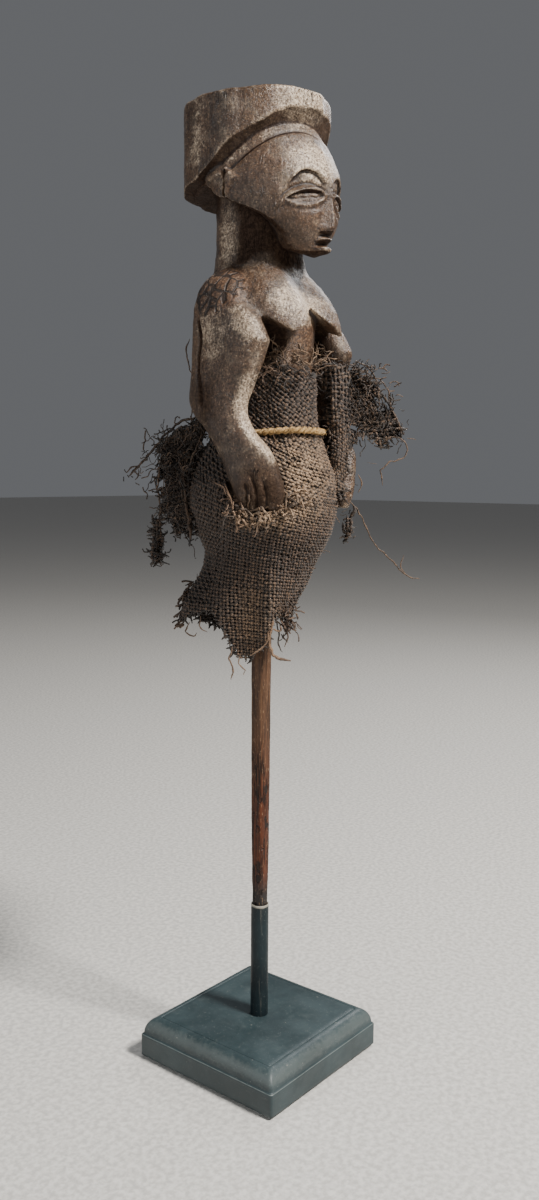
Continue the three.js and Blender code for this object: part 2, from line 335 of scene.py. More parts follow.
def jaw_height(x, f):
    """Lower edge of the head: a blunt chin that rises to the ears, hollow towards the neck."""
    turn = np.degrees(np.arctan2(np.abs(x), f + NECK_BACK))
    return np.interp(turn, JAW_TURN, JAW_EDGE) + 0.35 * np.clip(33 - np.hypot(x, f + NECK_BACK), 0, 15)


def skin(x, f, z):
    """Rough distance outside the head's own oval."""
    half_width, front, back = (column(z) for column in profile(HEAD))
    return oval(x, f, half_width, np.where(f > 0, front, back), 2.15)


def head(x, f, z):
    body = skin(x, f, z)
    under = jaw_height(x, f) - z
    return np.maximum(-smooth_min(-body, -under, 1.2), z - (CROWN - 4))


def neck(x, f, z):
    return slab(oval(x, f + NECK_BACK, 21.5, 22.5, 2.6), z, 446, 502)


HAT_RADIUS = 40.0
HAT_BACK = 5.4


# Distance in front of the axis, and the rim's lower edge there.
RIM_FRONT = [-45, -30, -15, -8, -2, 4.3, 9.9, 14.9, 19.3, 22.6, 26.8, 30, 34.6]
RIM_EDGE = [496, 496.5, 498.5, 503, 507.2, 512.6, 517.2, 520, 522.4, 524.2, 528.4, 531.3, 534.2]


def hat_underside(x, f):
    """Height of the rim's lower edge: a shallow band in front, deep behind, higher on the left."""
    return np.interp(f, RIM_FRONT, RIM_EDGE) + 0.2 * np.clip(x - 6, 0, 18) * smoothstep(5, 25, f)


def hat_facets(x, f):
    turn = np.arctan2(x, f + HAT_BACK)
    return 0.35 * np.cos(9 * turn + 2.6) + 0.25 * np.cos(14 * turn + 2) + 0.15 * np.cos(23 * turn)


def headdress(x, f, z):
    radial = np.hypot(x, f + HAT_BACK) - HAT_RADIUS + hat_facets(x, f)
    # The top is cut slightly higher towards the figure's left front.
    top = z - (CROWN - 0.5 + 2.8 * smoothstep(-25, 32, 0.64 * x + 0.77 * f))
    rim = np.maximum(radial + 1.3, 0) + np.maximum(top + 1.3, 0) - 1.5
    body = np.maximum(np.maximum(radial, top), rim)
    return np.maximum(body, hat_underside(x, f) - z)


BAND_TILT = 0.81  # cosine of the band's slope


def band_height(f):
    """Height of the carved band round the hair, which meets the rim behind the ears."""
    return np.where(f > 0, 502.5 + 0.73 * f, 502.5 + 0.22 * f)


def hair(x, f, z):
    """Cove of hair that widens from the band up to the rim's edge."""
    low, high = band_height(f), hat_underside(x, f)
    q = np.clip((z - low) / np.maximum(high - low, 1.0), 0, 1)
    radial = np.hypot(x, f + HAT_BACK) - (33.4 + 5.6 * q ** 2.2)
    return np.maximum(radial, np.maximum(low - 2 - z, z - (high + 6)))


def hair_band(x, f, z):
    lift = (z - band_height(f)) * BAND_TILT
    reach = np.hypot(x, f + HAT_BACK) - 33.9
    around = smoothstep(-16, -9, f)
    return np.hypot(np.minimum(reach, 0) * 0.3 + np.maximum(reach, 0) / 1.7, lift / 2.3) * 1.8 - 1.8 * around


def band_groove(x, f, z):
    """Thin cut line under the band, in millimetres of depth."""
    lift = (z - band_height(f)) * BAND_TILT
    return -1.1 * bump(lift + 3.4, 1.3) * smoothstep(-6, 4, f)


EYE = {"x": 13.7, "z": 486.2, "half_length": 9.8}


def face_relief(x, f, z):
    """Raised and sunk lines of the face, in millimetres, for the front of the head."""
    ax = np.abs(x)
    t = (ax - EYE["x"]) / EYE["half_length"]
    level = EYE["z"] - 0.16 * (ax - EYE["x"])
    arch = np.clip(1 - t * t, 0, 1)
    on_eye = smoothstep(0, 0.15, np.clip(1 - np.abs(t), 0, 1))
    lens_top = level + 2.6 * arch ** 0.8
    lower_edge = level - 4.0 * arch ** 0.75
    crease = np.interp(ax, [0, 3, 6.3, 10, 13.5, 17, 20.7, 26, 30],
                       [488, 490.5, 492.4, 493.4, 493.2, 492, 489.7, 484.2, 479])
    brow = np.interp(ax, [0, 3.4, 7, 11.4, 15, 17.4, 20, 22.9, 27],
                     [493.5, 495.6, 498.6, 500, 500, 498.8, 495.8, 491.6, 485])
    near = smoothstep(1.6, 4.0, ax) * smoothstep(27.0, 22.5, ax)
    lift = 1.1 * on_eye * bump(z - (lower_edge + 0.2), 1.7)
    lift = lift + 1.0 * on_eye * bump(z - (lens_top + 1.5), 1.5)
    lift = lift + 0.9 * on_eye * bump(z - level, 2.2) * arch
    lift = lift - 1.1 * on_eye * bump(z - level, 0.85)
    lift = lift - 0.8 * on_eye * bump(z - (lens_top + 0.1), 0.8)
    # Lid: a soft roll under the crease, then the fall of the brow above it.
    lift = lift + 0.7 * near * bump(z - (crease - 2.2), 2.4)
    lift = lift - 1.0 * near * bump(z - (crease + 0.2), 1.5)
    fall = smoothstep(1.0, 5.0, ax) * smoothstep(24.5, 17.0, ax)
    lift = lift - 1.9 * fall * smoothstep(brow + 0.6, brow - 1.2, z) * smoothstep(crease - 5.0, brow - 1.0, z)
    # The eye sits in a shallow bowl.
    bowl = np.hypot((ax - 14.0) / 12.5, (z - 488.0) / 9.5)
    lift = lift - 1.4 * np.clip(1 - bowl ** 2, 0, 1)
    tick = np.abs((ax - 24.0) - 0.6 * (480.5 - z))
    lift = lift - 0.9 * bump(tick, 0.8) * bump(z - 480.3, 3.0)
    return lift * smoothstep(4, 10, f)


def ear_relief(x, f, z):
    """Leaf-shaped lobe in front of a dark upright cut, with a flat block behind it."""
    reach = np.interp(z, [486, 488, 491, 494, 497, 500, 503.5], [0, 1.5, 3.4, 5.8, 10.0, 6.0, 0.2])
    along = f - 2.2
    ahead = along / np.maximum(reach, 0.3)
    lobe = 2.2 * smoothstep(1.1, 0.4, ahead) * smoothstep(-0.6, 0.6, along) * smoothstep(0.1, 1.2, reach)
    block = 1.0 * smoothstep(-1.0, -2.0, along) * smoothstep(-12, -8, along) * smoothstep(486, 488.5, z)
    block = block * smoothstep(502, 499.5, z)
    cut = -2.0 * bump(along + 0.9, 1.2) * smoothstep(485.5, 488, z) * smoothstep(503, 501, z)
    return (lobe + block + cut) * smoothstep(24, 30, np.abs(x))


def nose(x, f, z):
    half = np.interp(z, [470, 472, 475, 480, 490, 506, 514], [6.0, 6.0, 5.0, 3.6, 2.4, 1.4, 0.5])
    ridge = np.interp(z, [470, 472, 480, 492, 503, 512], [47.0, 48.2, 47.6, 46.2, 43.9, 40.0])
    wedge = (f + np.abs(x) * np.interp(z, [470, 512], [0.95, 1.3]) - ridge) * 0.66
    return slab(np.maximum(wedge, np.abs(x) - half), z, 470.3 + 0.0 * x, 512)


def lip(level, thick, reach, bow):
    """One lip: a short rounded roll that curves up or down towards its middle."""
    def shape(x, f, z):
        curve = level + bow * (1 - (x / 7.0) ** 2)
        return np.sqrt(((z - curve) / thick) ** 2 + ((f - 38.5) / (reach - 38.5)) ** 2
                       + (x / 5.2) ** 2) * thick - thick
    return shape


def mouth(x, f, z):
    """The cut between the lips."""
    inward = np.maximum(43.5 - f, 0) * 0.5
    return np.sqrt((z - 464.6) ** 2 + inward ** 2 + np.maximum(np.abs(x) - 3.8, 0) ** 2) - 0.6


def finger_relief(x, f, z):
    """Grooves that part the fingers, cut down the outer face of each hand."""
    middle_x, middle_f, _, _, turn = (column(z) for column in profile(ARM, 8.0))
    across, along = turned_in(np.abs(x) - middle_x, f - middle_f, turn)
    relief = 0
    for middle, top in ((-5.5, 343), (-0.5, 347), (4.5, 345)):
        drift = middle + 0.08 * (z - 335)
        relief = relief - 1.5 * bump(along - drift, 1.3) * smoothstep(top, top - 6, z)
    return relief * smoothstep(1.0, 3.5, across)


def build_field():
    step = 0.8
    field = Field((-53, -50, 282), (53, 52, CROWN + 4), step)
    field.join((-60, -60, 280), (60, 60, 470), torso, 1.0)
    field.join((-60, -60, 400), (60, 60, 464), chest, 1.5)
    field.join((-60, -40, 320), (60, 60, 456), arm, 3.0)
    field.join((-30, -35, 440), (30, 35, 505), neck, 4.5)
    field.join((-50, -50, 450), (50, 50, 550), head, 1.0)
    field.join((-50, -50, 485), (50, 50, 545), hair, 0.8)
    field.join((-50, -50, 490), (50, 50, 550), headdress, 0.6)
    field.join((-45, -45, 490), (45, 45, 540), hair_band, 1.0)
    field.raise_by((-45, -8, 490), (45, 45, 530), band_groove)
    field.raise_by((-50, 5, 322), (50, 50, 350), finger_relief)
    field.raise_by((-40, 2, 470), (40, 52, 508), face_relief)
    field.raise_by((-42, -14, 484), (42, 12, 505), ear_relief)
    field.join((-10, 30, 468), (10, 52, 514), nose, 1.0)
    field.join((-10, 28, 456), (10, 50, 474), lip(466.3, 1.8, 45.4, 0.9), 0.6)
    field.join((-10, 28, 452), (10, 50, 472), lip(462.9, 2.4, 45.0, -1.0), 0.6)
    field.carve((-9, 36, 460), (9, 52, 469), mouth, 0.5)
    return field


def mesh_object(name, vertices, faces, material, attributes=None, smooth=True):
    """Blender object from millimetre vertices, with named per-vertex numbers for its material."""
    mesh = bpy.data.meshes.new(name)
    vertices = np.asarray(vertices, np.float32) * MM
    faces = np.asarray(faces, np.int32)
    corners = faces.shape[1]
    mesh.vertices.add(len(vertices))
    mesh.vertices.foreach_set("co", vertices.ravel())
    mesh.loops.add(faces.size)
    mesh.loops.foreach_set("vertex_index", faces.ravel())
    mesh.polygons.add(len(faces))
    mesh.polygons.foreach_set("loop_start", np.arange(len(faces), dtype=np.int32) * corners)
    mesh.polygons.foreach_set("loop_total", np.full(len(faces), corners, np.int32))
    mesh.update(calc_edges=True)
    mesh.validate()
    if smooth:
        mesh.shade_smooth()
    for key, values in (attributes or {}).items():
        layer = mesh.attributes.new(key, "FLOAT", "POINT")
        layer.data.foreach_set("value", np.asarray(values, np.float32))
    mesh.materials.append(material)
    obj = bpy.data.objects.new(name, mesh)
    bpy.context.collection.objects.link(obj)
    return obj


# ---------------------------------------------------------------- materials

def srgb(hex_colour):
    """Linear RGBA of an sRGB colour written as rrggbb."""
    channels = [int(hex_colour[k:k + 2], 16) / 255 for k in (0, 2, 4)]
    return [c / 12.92 if c <= 0.04045 else ((c + 0.055) / 1.055) ** 2.4 for c in channels] + [1.0]


class Shader:
    """Short names for the nodes of one procedural material."""

    def __init__(self, name):
        self.material = bpy.data.materials.new(name)
        self.material.use_nodes = True
        self.tree = self.material.node_tree
        self.tree.nodes.clear()
        self.output = self.tree.nodes.new("ShaderNodeOutputMaterial")
        self.surface = self.tree.nodes.new("ShaderNodeBsdfPrincipled")
        self.tree.links.new(self.surface.outputs[0], self.output.inputs["Surface"])
        self.place = self.tree.nodes.new("ShaderNodeTexCoord").outputs["Object"]

    def put(self, value, socket):
        """Links another node's output, or sets a number, a vector or a colour written as rrggbb."""
        if isinstance(value, bpy.types.NodeSocket):
            self.tree.links.new(value, socket)
        else:
            socket.default_value = srgb(value) if isinstance(value, str) else value

    def node(self, kind, settings=None, **inputs):
        """New node with its settings, and its inputs linked or set by name."""
        made = self.tree.nodes.new("ShaderNode" + kind)
        for name, value in (settings or {}).items():
            setattr(made, name, value)
        for name, value in inputs.items():
            self.put(value, made.inputs[name])
        return made

    def stretched(self, x, y, z):
        return self.node("Mapping", Vector=self.place, Scale=(x, y, z)).outputs[0]

    def noise(self, scale, detail=4.0, rough=0.55, at=None, warp=0.0):
        return self.node("TexNoise", Vector=at or self.place, Scale=scale, Detail=detail, Roughness=rough,
                         Distortion=warp).outputs["Fac"]

    def cells(self, scale, feature="F1", at=None):
        return self.node("TexVoronoi", {"feature": feature}, Vector=at or self.place,
                         Scale=scale).outputs["Distance"]

    def attribute(self, name):
        return self.node("Attribute", {"attribute_name": name}).outputs["Fac"]

    def math(self, operation, a, b=0.0):
        made = self.node("Math", {"operation": operation})
        self.put(a, made.inputs[0])
        self.put(b, made.inputs[1])
        return made.outputs[0]

    def add(self, a, b):
        return self.math("ADD", a, b)

    def less(self, a, b):
        return self.math("SUBTRACT", a, b)

    def times(self, a, b):
        return self.math("MULTIPLY", a, b)

    def ramp(self, value, low, high, from_value=0.0, to_value=1.0):
        made = self.node("MapRange", {"interpolation_type": "SMOOTHSTEP"})
        for amount, socket in zip((value, low, high, from_value, to_value), made.inputs):
            self.put(amount, socket)
        return made.outputs[0]

    def mix(self, share, a, b, blend="MIX"):
        made = self.node("Mix", {"data_type": "RGBA", "blend_type": blend}, Factor=share)
        self.put(a, made.inputs[6])
        self.put(b, made.inputs[7])
        return made.outputs[2]

    def shade(self, value, low, high, first, second):
        """Colour that goes from the first to the second as the value goes from low to high."""
        return self.mix(self.ramp(value, low, high), first, second)

    def bump(self, height, distance, strength=1.0):
        return self.node("Bump", Strength=strength, Distance=distance, Height=height).outputs[0]

    def finish(self, colour, roughness, normal=None, metallic=0.0, specular=0.5):
        self.put(colour, self.surface.inputs["Base Color"])
        self.put(roughness, self.surface.inputs["Roughness"])
        self.surface.inputs["Metallic"].default_value = metallic
        self.put(specular, self.surface.inputs["Specular IOR Level"])
        if normal:
            self.put(normal, self.surface.inputs["Normal"])
        return self.material


def patina_wood():
    """Handled old wood: brown and grey-brown, satin, with fine flecks, pits, cracks and a dark crust, and
    with painted highlights and painted shade taken from the pale and dark attributes.
    """
    s = Shader("patina_wood")
    wear, cavity = s.attribute("wear"), s.attribute("cavity")
    pale, rust, dark = s.attribute("pale"), s.attribute("rust"), s.attribute("dark")
    grain = s.noise(1.0, 5, 0.6, s.stretched(560, 560, 50), 0.5)
    cloud = s.noise(48, 4, 0.6)
    patch = s.noise(110, 4, 0.62)
    grit = s.noise(1150, 2, 0.7)
    speck = s.noise(620, 4, 0.72)
    body = s.shade(cloud, 0.38, 0.62, "35261b", "554030")
    body = s.shade(patch, 0.48, 0.72, body, "6a5d50")
    body = s.mix(s.ramp(grain, 0.42, 0.8, 0.0, 0.6), body, "75604c")
    red = s.shade(speck, 0.4, 0.62, "35241a", "6d523d")
    body = s.mix(s.times(rust, s.ramp(s.noise(80, 4, 0.65), 0.30, 0.56)), body, red)
    # Pale where worn, with painted highlights from the pale attribute.
    worn_and_highlit = s.add(s.times(wear, 0.45), s.times(pale, 0.85))
    uneven = s.add(s.times(speck, 1.6), s.times(patch, 1.2))
    ragged = s.add(worn_and_highlit, s.less(uneven, 1.4))
    bone = s.shade(grit, 0.35, 0.65, "8a745f", "cbbba6")
    body = s.shade(ragged, 0.2, 1.0, body, bone)
    flecks = s.ramp(s.noise(1.0, 3, 0.7, s.stretched(1000, 1000, 700)), 0.60, 0.68)
    flecks = s.times(flecks, s.ramp(cloud, 0.4, 0.6, 0.25, 0.75))
    body = s.mix(flecks, body, "b89f85")
    mottle = s.mix(s.ramp(s.noise(760, 3, 0.8), 0.40, 0.60), (0.55, 0.52, 0.5, 1), (1.22, 1.2, 1.16, 1))
    body = s.mix(1.0, body, mottle, "MULTIPLY")
    # Painted shade from the dark attribute, which also holds darker patches and the arm's split.
    shade_and_dark_patches = s.ramp(s.add(dark, s.times(s.less(patch, 0.5), 0.8)), 0.06, 0.85)
    shade_and_dark_patches = s.times(shade_and_dark_patches, s.ramp(dark, 0.0, 0.2))
    body = s.mix(shade_and_dark_patches, body, s.shade(speck, 0.35, 0.70, "241914", "43342a"))
    crust = s.add(cavity, s.times(s.less(grit, 0.5), 0.6))
    body = s.shade(crust, 0.2, 1.05, body, "241812")
    pits = s.ramp(grit, 0.33, 0.41, 1.0, 0.0)
    dots = s.ramp(s.cells(330), 0.11, 0.18, 1.0, 0.0)
    pits = s.math("MAXIMUM", pits, s.times(dots, s.ramp(s.noise(95, 3), 0.46, 0.52)))
    body = s.mix(s.times(pits, 0.8), body, "20140e")
    # Dark crackle where the surface is rusty, and a few upright splits.
    crackle = s.ramp(s.cells(150, "DISTANCE_TO_EDGE", s.stretched(1.0, 1.0, 0.8)), 0.04, 0.12, 1.0, 0.0)
    crackle = s.times(crackle, s.ramp(rust, 0.85, 1.1))
    split = s.math("ABSOLUTE", s.less(s.noise(1.0, 3, 0.5, s.stretched(120, 120, 13)), 0.5))
    split = s.times(s.ramp(split, 0.003, 0.010, 1.0, 0.0), s.ramp(s.noise(34, 2), 0.60, 0.68))
    cracks = s.math("MAXIMUM", crackle, split)
    body = s.mix(s.times(cracks, 0.85), body, "160e0a")
    height = s.add(s.times(grain, 0.5), s.times(speck, 0.9))
    height = s.less(height, s.times(pits, 0.4))
    height = s.less(height, s.times(cracks, 1.2))
    roughness = s.ramp(s.add(patch, s.times(wear, -0.2)), 0.2, 0.8, 0.28, 0.52)
    roughness = s.add(roughness, s.add(s.times(shade_and_dark_patches, 0.3), s.times(rust, 0.08)))
    specular = s.ramp(shade_and_dark_patches, 0.1, 0.9, 0.5, 0.08)
    return s.finish(body, roughness, s.bump(height, 0.0007, 0.9), specular=specular)


def plain(name, colour, roughness):
    """One colour with a faint darker mottle."""
    s = Shader(name)
    darker = [c * 0.7 for c in srgb(colour)[:3]] + [1]
    return s.finish(s.mix(s.ramp(s.noise(300, 3), 0.3, 0.7), srgb(colour), darker), roughness)


# ---------------------------------------------------------------- figure

def spot(vertices, centre, radius):
    """1 at the centre of a soft round patch and 0 at its radius."""
    distance = np.linalg.norm((vertices - np.array(centre)) / np.array(radius), axis=1)
    return np.clip(1 - distance ** 2, 0, 1)


# Strength, centre and reach of the pale spots, which are partly rubbed wear and partly painted highlights on
# the chest, forehead, hat front and near upper arm, and of those with a rusty crust.
PALE = [
    (1.1, (-10, -32, 434), (26, 20, 14)), (1.2, (-9, -42, 506), (24, 15, 15)),
    (1.2, (-8, -34, 535), (28, 13, 16)), (0.8, (44, -24, 350), (8, 16, 20)),
    (0.8, (-42, -24, 420), (9, 16, 14)), (0.75, (-46, -3, 417), (10, 14, 18)),
    (0.72, (-22, 8, 470), (9, 10, 26)), (0.6, (-38, 14, 520), (15, 10, 26)),
]
RUST = [
    (2.2, (-36, 0, 438), (16, 20, 26)), (0.7, (-42, -8, 388), (14, 20, 20)),
    (0.8, (0, -32, 416), (30, 12, 12)), (0.6, (0, -38, 474), (34, 20, 18)),
    (0.5, (-30, -14, 500), (12, 20, 18)),
]


def patches(vertices, spots):
    return np.maximum.reduce([share * spot(vertices, centre, reach) for share, centre, reach in spots])


def arm_front_highlight(x, f, z):
    """1 along the front edge of the near forearm, from the bend of the elbow to the wrist, where a pale
    highlight is painted.
    """
    middle_x, middle_f, _, broad, turn = (column(z) for column in profile(ARM, 8.0))
    along = turned_in(-x - middle_x, f - middle_f, turn)[1]
    edge = smoothstep(0.68, 0.95, along / broad) * (x < -15)
    return edge * smoothstep(404, 390, z) * smoothstep(346, 356, z)


def darkened(vertices, normals):
    """How dark the wood is painted at each vertex: painted shade in the hair cove, on the throat under the
    chin, at the nape under the hat, under the chest plate, on faces turned down and in the line under the
    band, with darker patches on the near hand and the elbows.
    """
    x, front, up = vertices[:, 0], -vertices[:, 1], vertices[:, 2]
    over_band = up - band_height(front)
    rim_edge = hat_underside(x, front)
    # Painted shade in the cove under the rim, on the throat, at the nape and under the chest plate.
    cove = (over_band > 2.4) & (up < rim_edge + 0.3) & (up > 495)
    cove = cove & (np.hypot(x, front + HAT_BACK) < HAT_RADIUS - 0.3)
    throat = smoothstep(452, 458, up) * smoothstep(26, 23, np.hypot(x, front + NECK_BACK)) * (up < 500)
    facet = spot(vertices, (-22, 8, 470), (12, 12, 26))  # a rubbed flat of the neck
    throat = throat * smoothstep(-27, 6, front) * (1 - 0.8 * facet)
    nape = smoothstep(-8, -18, front) * smoothstep(474, 490, up) * (up < rim_edge - 0.8)
    under_chest = smoothstep(402, 408, up) * smoothstep(430, 420, up)
    under_chest = under_chest * smoothstep(9, 15, np.abs(x)) * smoothstep(33, 28, front) * (front > 0)
    under_chest = under_chest * smoothstep(33, 28, np.abs(x))
    # Painted shade on faces turned down and along the cut under the band.
    facing_down = smoothstep(-0.5, -0.85, normals[:, 2]) * (up > 455) * (up < 506)
    band_line = bump(over_band * BAND_TILT + 3.4, 1.0) * smoothstep(4, 14, front) * (up < 530)
    band_line = band_line * (np.hypot(x, front) > 25)
    hand = spot(vertices, (-34, -30, 336), (27, 26, 23))
    elbows = patches(vertices, [(1, (side * 46, 2, 382), (9, 18, 26)) for side in (-1, 1)])
    return np.maximum.reduce([0.5 * cove, 0.8 * throat, 0.8 * nape, 0.7 * under_chest, 0.9 * facing_down,
                              0.8 * band_line, 0.62 * hand, 0.5 * elbows])


def build_figure():
    vertices, faces = build_field().surface()
    count = len(vertices)
    for _ in range(2):
        vertices = 0.5 * vertices + 0.5 * neighbour_mean(vertices, faces, count)
    normals = vertex_normals(vertices, faces)
    # Knife facets and a slightly lumpy crust.
    cuts = layered_noise(vertices, 9.0, 2, 11)
    lumps = layered_noise(vertices, 2.6, 2, 23)
    vertices = vertices + normals * (0.28 * cuts + 0.10 * lumps)[:, None]
    # Edges stand out from the mean of what is round them, and hollows lie below it.
    fine = neighbour_mean(vertices, faces, count)
    wide = fine
    for _ in range(5):
        wide = neighbour_mean(wide, faces, count)
    sharp = np.einsum("ij,ij->i", vertices - fine, normals)
    broad = np.einsum("ij,ij->i", vertices - wide, normals)
    x, front, up = vertices[:, 0], -vertices[:, 1], vertices[:, 2]
    rim = bump((up - band_height(front) - 0.2) * BAND_TILT, 3.0) * smoothstep(-6, 6, front) * (up < 530)
    # Old split down the back of the near arm.
    split = front + 6.5 + 0.05 * (up - 400) - 1.3 * np.sin(up / 5.0)
    split = bump(split, 2.3) * (x < -36) * smoothstep(376, 384, up) * smoothstep(430, 422, up)
    # pale holds rubbed wear and painted highlights; dark holds painted shade, darker patches and the split.
    values = {
        "wear": np.clip(sharp * 8 + broad * 1.1, 0, 1),
        "cavity": np.clip(-sharp * 8 - broad * 1.5, 0, 1),
        "pale": np.maximum.reduce([patches(vertices, PALE), 0.35 * rim, 0.9 * arm_front_highlight(x, front, up)]),
        "rust": patches(vertices, RUST),
        "dark": np.maximum(darkened(vertices, normals), 1.1 * split),
    }
    vertices = vertices - normals * (1.7 * split)[:, None]
    obj = mesh_object("carved_figure", vertices, faces, patina_wood(), values)
    attach(obj, "doll", "figure")


# ---------------------------------------------------------------- directions used for the cloth

# The cloth was torn and pulled about most on the figure's right front, so it is laid out from there:
# s runs across that view to the right, t towards it, both in millimetres from the figure's axis.
VIEW_TURN = math.radians(50.5)
ACROSS = np.array([math.cos(VIEW_TURN), -math.sin(VIEW_TURN), 0.0])
TOWARDS = np.array([-math.sin(VIEW_TURN), -math.cos(VIEW_TURN), 0.0])


def place(s, t, z):
    """Points in the row frame from s, t and height."""
    s, t, z = np.broadcast_arrays(np.asarray(s, float), np.asarray(t, float), np.asarray(z, float))
    return s[..., None] * ACROSS + t[..., None] * TOWARDS + z[..., None] * np.array([0, 0, 1.0])


def table(pairs, width=6.0):
    """Smooth function through (position, value) pairs."""
    return smooth_table(dict(pairs), width)


# ---------------------------------------------------------------- threads

def unit(vectors):
    return vectors / np.maximum(np.linalg.norm(vectors, axis=-1, keepdims=True), 1e-9)


def tube_mesh(paths, radii, sides=4):
    """Vertices, quads and path number per vertex for tubes along the paths; radii has one array per path."""
    counts = np.array([len(path) for path in paths])
    points = np.concatenate(paths)
    radius = np.concatenate(radii)
    owner = np.repeat(np.arange(len(paths)), counts)
    last = np.cumsum(counts) - 1
    first = last - counts + 1
    ahead = np.arange(len(points)) + 1
    ahead[last] = last
    behind = np.arange(len(points)) - 1
    behind[first] = first
    tangent = unit(points[ahead] - points[behind])
    reference = np.where(np.abs(tangent[:, 2:]) > 0.8, [[0.8, 0.6, 0.0]], [[0.0, 0.0, 1.0]])
    side = unit(np.cross(tangent, reference))
    up = np.cross(side, tangent)
    angles = np.arange(sides) * 2 * math.pi / sides
    ring = (np.cos(angles)[None, :, None] * side[:, None] + np.sin(angles)[None, :, None] * up[:, None])
    vertices = (points[:, None] + ring * radius[:, None, None]).reshape(-1, 3)
    start = np.delete(np.arange(len(points)), last)
    k = np.arange(sides)
    a = start[:, None] * sides + k
    b = start[:, None] * sides + (k + 1) % sides
    quads = np.stack([a, b, b + sides, a + sides], axis=-1).reshape(-1, 4)
    return vertices, quads, np.repeat(owner, sides)


def frayed(point, direction, length, random, step=0.9, curl=0.5, drop=0.1):
    """Points of a loose thread end that wanders off from a cut."""
    points = []
    heading = unit(direction)
    bend = random.normal(0, curl * 0.5, 3)
    for _ in range(int(length / step)):
        heading = unit(heading + bend * 0.5 + random.normal(0, curl * 0.45, 3) - np.array([0, 0, drop]))
        point = point + heading * step
        points.append(point)
    return points


def loose_thread(root, direction, length, thick, random, **bend):
    """Path and radii of a loose end from its root, with its length and thickness drawn from two ranges."""
    path = np.array([root] + frayed(root, direction, random.uniform(*length), random, **bend))
    return path, np.full(len(path), random.uniform(*thick))


def weave(surface, keep, u_span, v_span, pitch, seed, fray=(1.0, 5.0), radius=0.92, lift=0.5, curl=0.5):
    """Plain-woven threads over surface(u, v) -> (points, normals) wherever keep(u, v) is true."""
    random = np.random.default_rng(seed)
    families = []
    for along_v in (True, False):
        cross_span, run_span = (u_span, v_span) if along_v else (v_span, u_span)
        lines = np.arange(cross_span[0], cross_span[1], pitch)
        steps = np.arange(run_span[0], run_span[1], pitch / 2)
        line, step = np.meshgrid(lines, steps, indexing="ij")
        number = np.arange(len(lines))[:, None]
        at = np.stack([step / 9.0 + 50, line * 3.1, number * np.ones_like(step)], -1)
        wander = noise(at.reshape(-1, 3), 1.0, seed)
        line = line + 0.3 * pitch * wander.reshape(line.shape)
        u, v = (line, step) if along_v else (step, line)
        points, normals = surface(u, v)
        half = np.arange(len(steps))[None, :]
        wave = np.cos(math.pi * (half / 2 + number)) * (1 if along_v else -1)
        rise = lift if along_v else 0.6 * lift
        points = points + normals * (rise * wave)[..., None]
        kept = keep(u, v)
        paths, radii, crests = [], [], []
        for row in range(len(lines)):
            flags = np.concatenate([[False], kept[row], [False]])
            edges = np.flatnonzero(flags[1:] != flags[:-1])
            for begin, end in zip(edges[::2], edges[1::2]):
                if end - begin < 3:
                    continue
                path = points[row, begin:end]
                head = frayed(path[0], path[0] - path[2], random.uniform(*fray) * random.uniform(0.2, 1.0),
                              random, curl=curl)
                tail = frayed(path[-1], path[-1] - path[-3], random.uniform(*fray) * random.uniform(0.2, 1.0),
                              random, curl=curl)
                whole = np.array(head[::-1] + list(path) + tail)
                thick = radius * random.uniform(0.82, 1.18) * (1 + 0.16 * random.normal(0, 1, len(whole)))
                fade = np.minimum(np.arange(len(whole)), np.arange(len(whole))[::-1])
                paths.append(whole)
                radii.append(np.clip(thick, 0.35, 1.2) * np.clip(0.35 + fade * 0.16, 0, 1))
                # How high each point rides in the weave, which the thread finish turns into a painted
                # highlight on top and painted shade below.
                high = 0.5 + 0.5 * wave[row, begin:end]
                crests.append(np.concatenate([np.full(len(head), 0.6), high, np.full(len(tail), 0.6)]))
        families.append((paths, radii, crests))
    return families


def strand(points, radius, random, wobble=0.5, step=0.8):
    """Loose thread through the given (s, t, z) points, with its own small kinks."""
    points = place(*np.array(points, float).T)
    lengths = np.concatenate([[0], np.cumsum(np.linalg.norm(np.diff(points, axis=0), axis=1))])
    count = max(int(lengths[-1] / step), 6)
    fine = np.linspace(0, lengths[-1], count)
    path = np.stack([np.interp(fine, lengths, points[:, k]) for k in range(3)], 1)
    for _ in range(3):
        path[1:-1] = 0.5 * path[1:-1] + 0.25 * (path[:-2] + path[2:])
    kink = random.normal(0, 1, (count, 3))
    for _ in range(2):
        kink = (kink + np.roll(kink, 1, 0) + np.roll(kink, -1, 0)) / 3
    path = path + kink * wobble
    fade = np.minimum(np.arange(count), np.arange(count)[::-1])
    return path, radius * np.clip(0.45 + 0.12 * fade, 0, 1) * (1 + 0.12 * random.normal(0, 1, count))


def sheet_mesh(surface, keep, u_span, v_span, step, inset):
    """Vertices and quads of the kept part of a surface, set slightly in so that the threads lie on it."""
    us = np.arange(u_span[0], u_span[1] + step / 2, step)
    vs = np.arange(v_span[0], v_span[1] + step / 2, step)
    u, v = np.meshgrid(us, vs, indexing="ij")
    points, normals = surface(u, v)
    points = points - normals * inset
    kept = keep(u, v)
    whole = kept[:-1, :-1] & kept[1:, :-1] & kept[1:, 1:] & kept[:-1, 1:]
    index = np.arange(u.size).reshape(u.shape)
    quads = np.stack([index[:-1, :-1], index[1:, :-1], index[1:, 1:], index[:-1, 1:]], -1)[whole]
    used, quads = np.unique(quads, return_inverse=True)
    return points.reshape(-1, 3)[used], quads.reshape(-1, 4)


def thread_object(name, paths, radii, material, sides=4, tint=None, crests=None):
    vertices, quads, owner = tube_mesh(paths, radii, sides)
    random = np.random.default_rng(len(paths) + 7)
    tone = random.uniform(0, 1, len(paths))[owner]
    warm, darkness = tint(vertices) if tint else (np.zeros(len(vertices)), np.zeros(len(vertices)))
    crest = np.full(len(vertices), 0.75) if crests is None else np.repeat(np.concatenate(crests), sides)
    values = {"tone": tone, "warm": warm, "darkness": darkness, "crest": crest}
    return mesh_object(name, vertices, quads, material, values)


# ---------------------------------------------------------------- wrap cloth

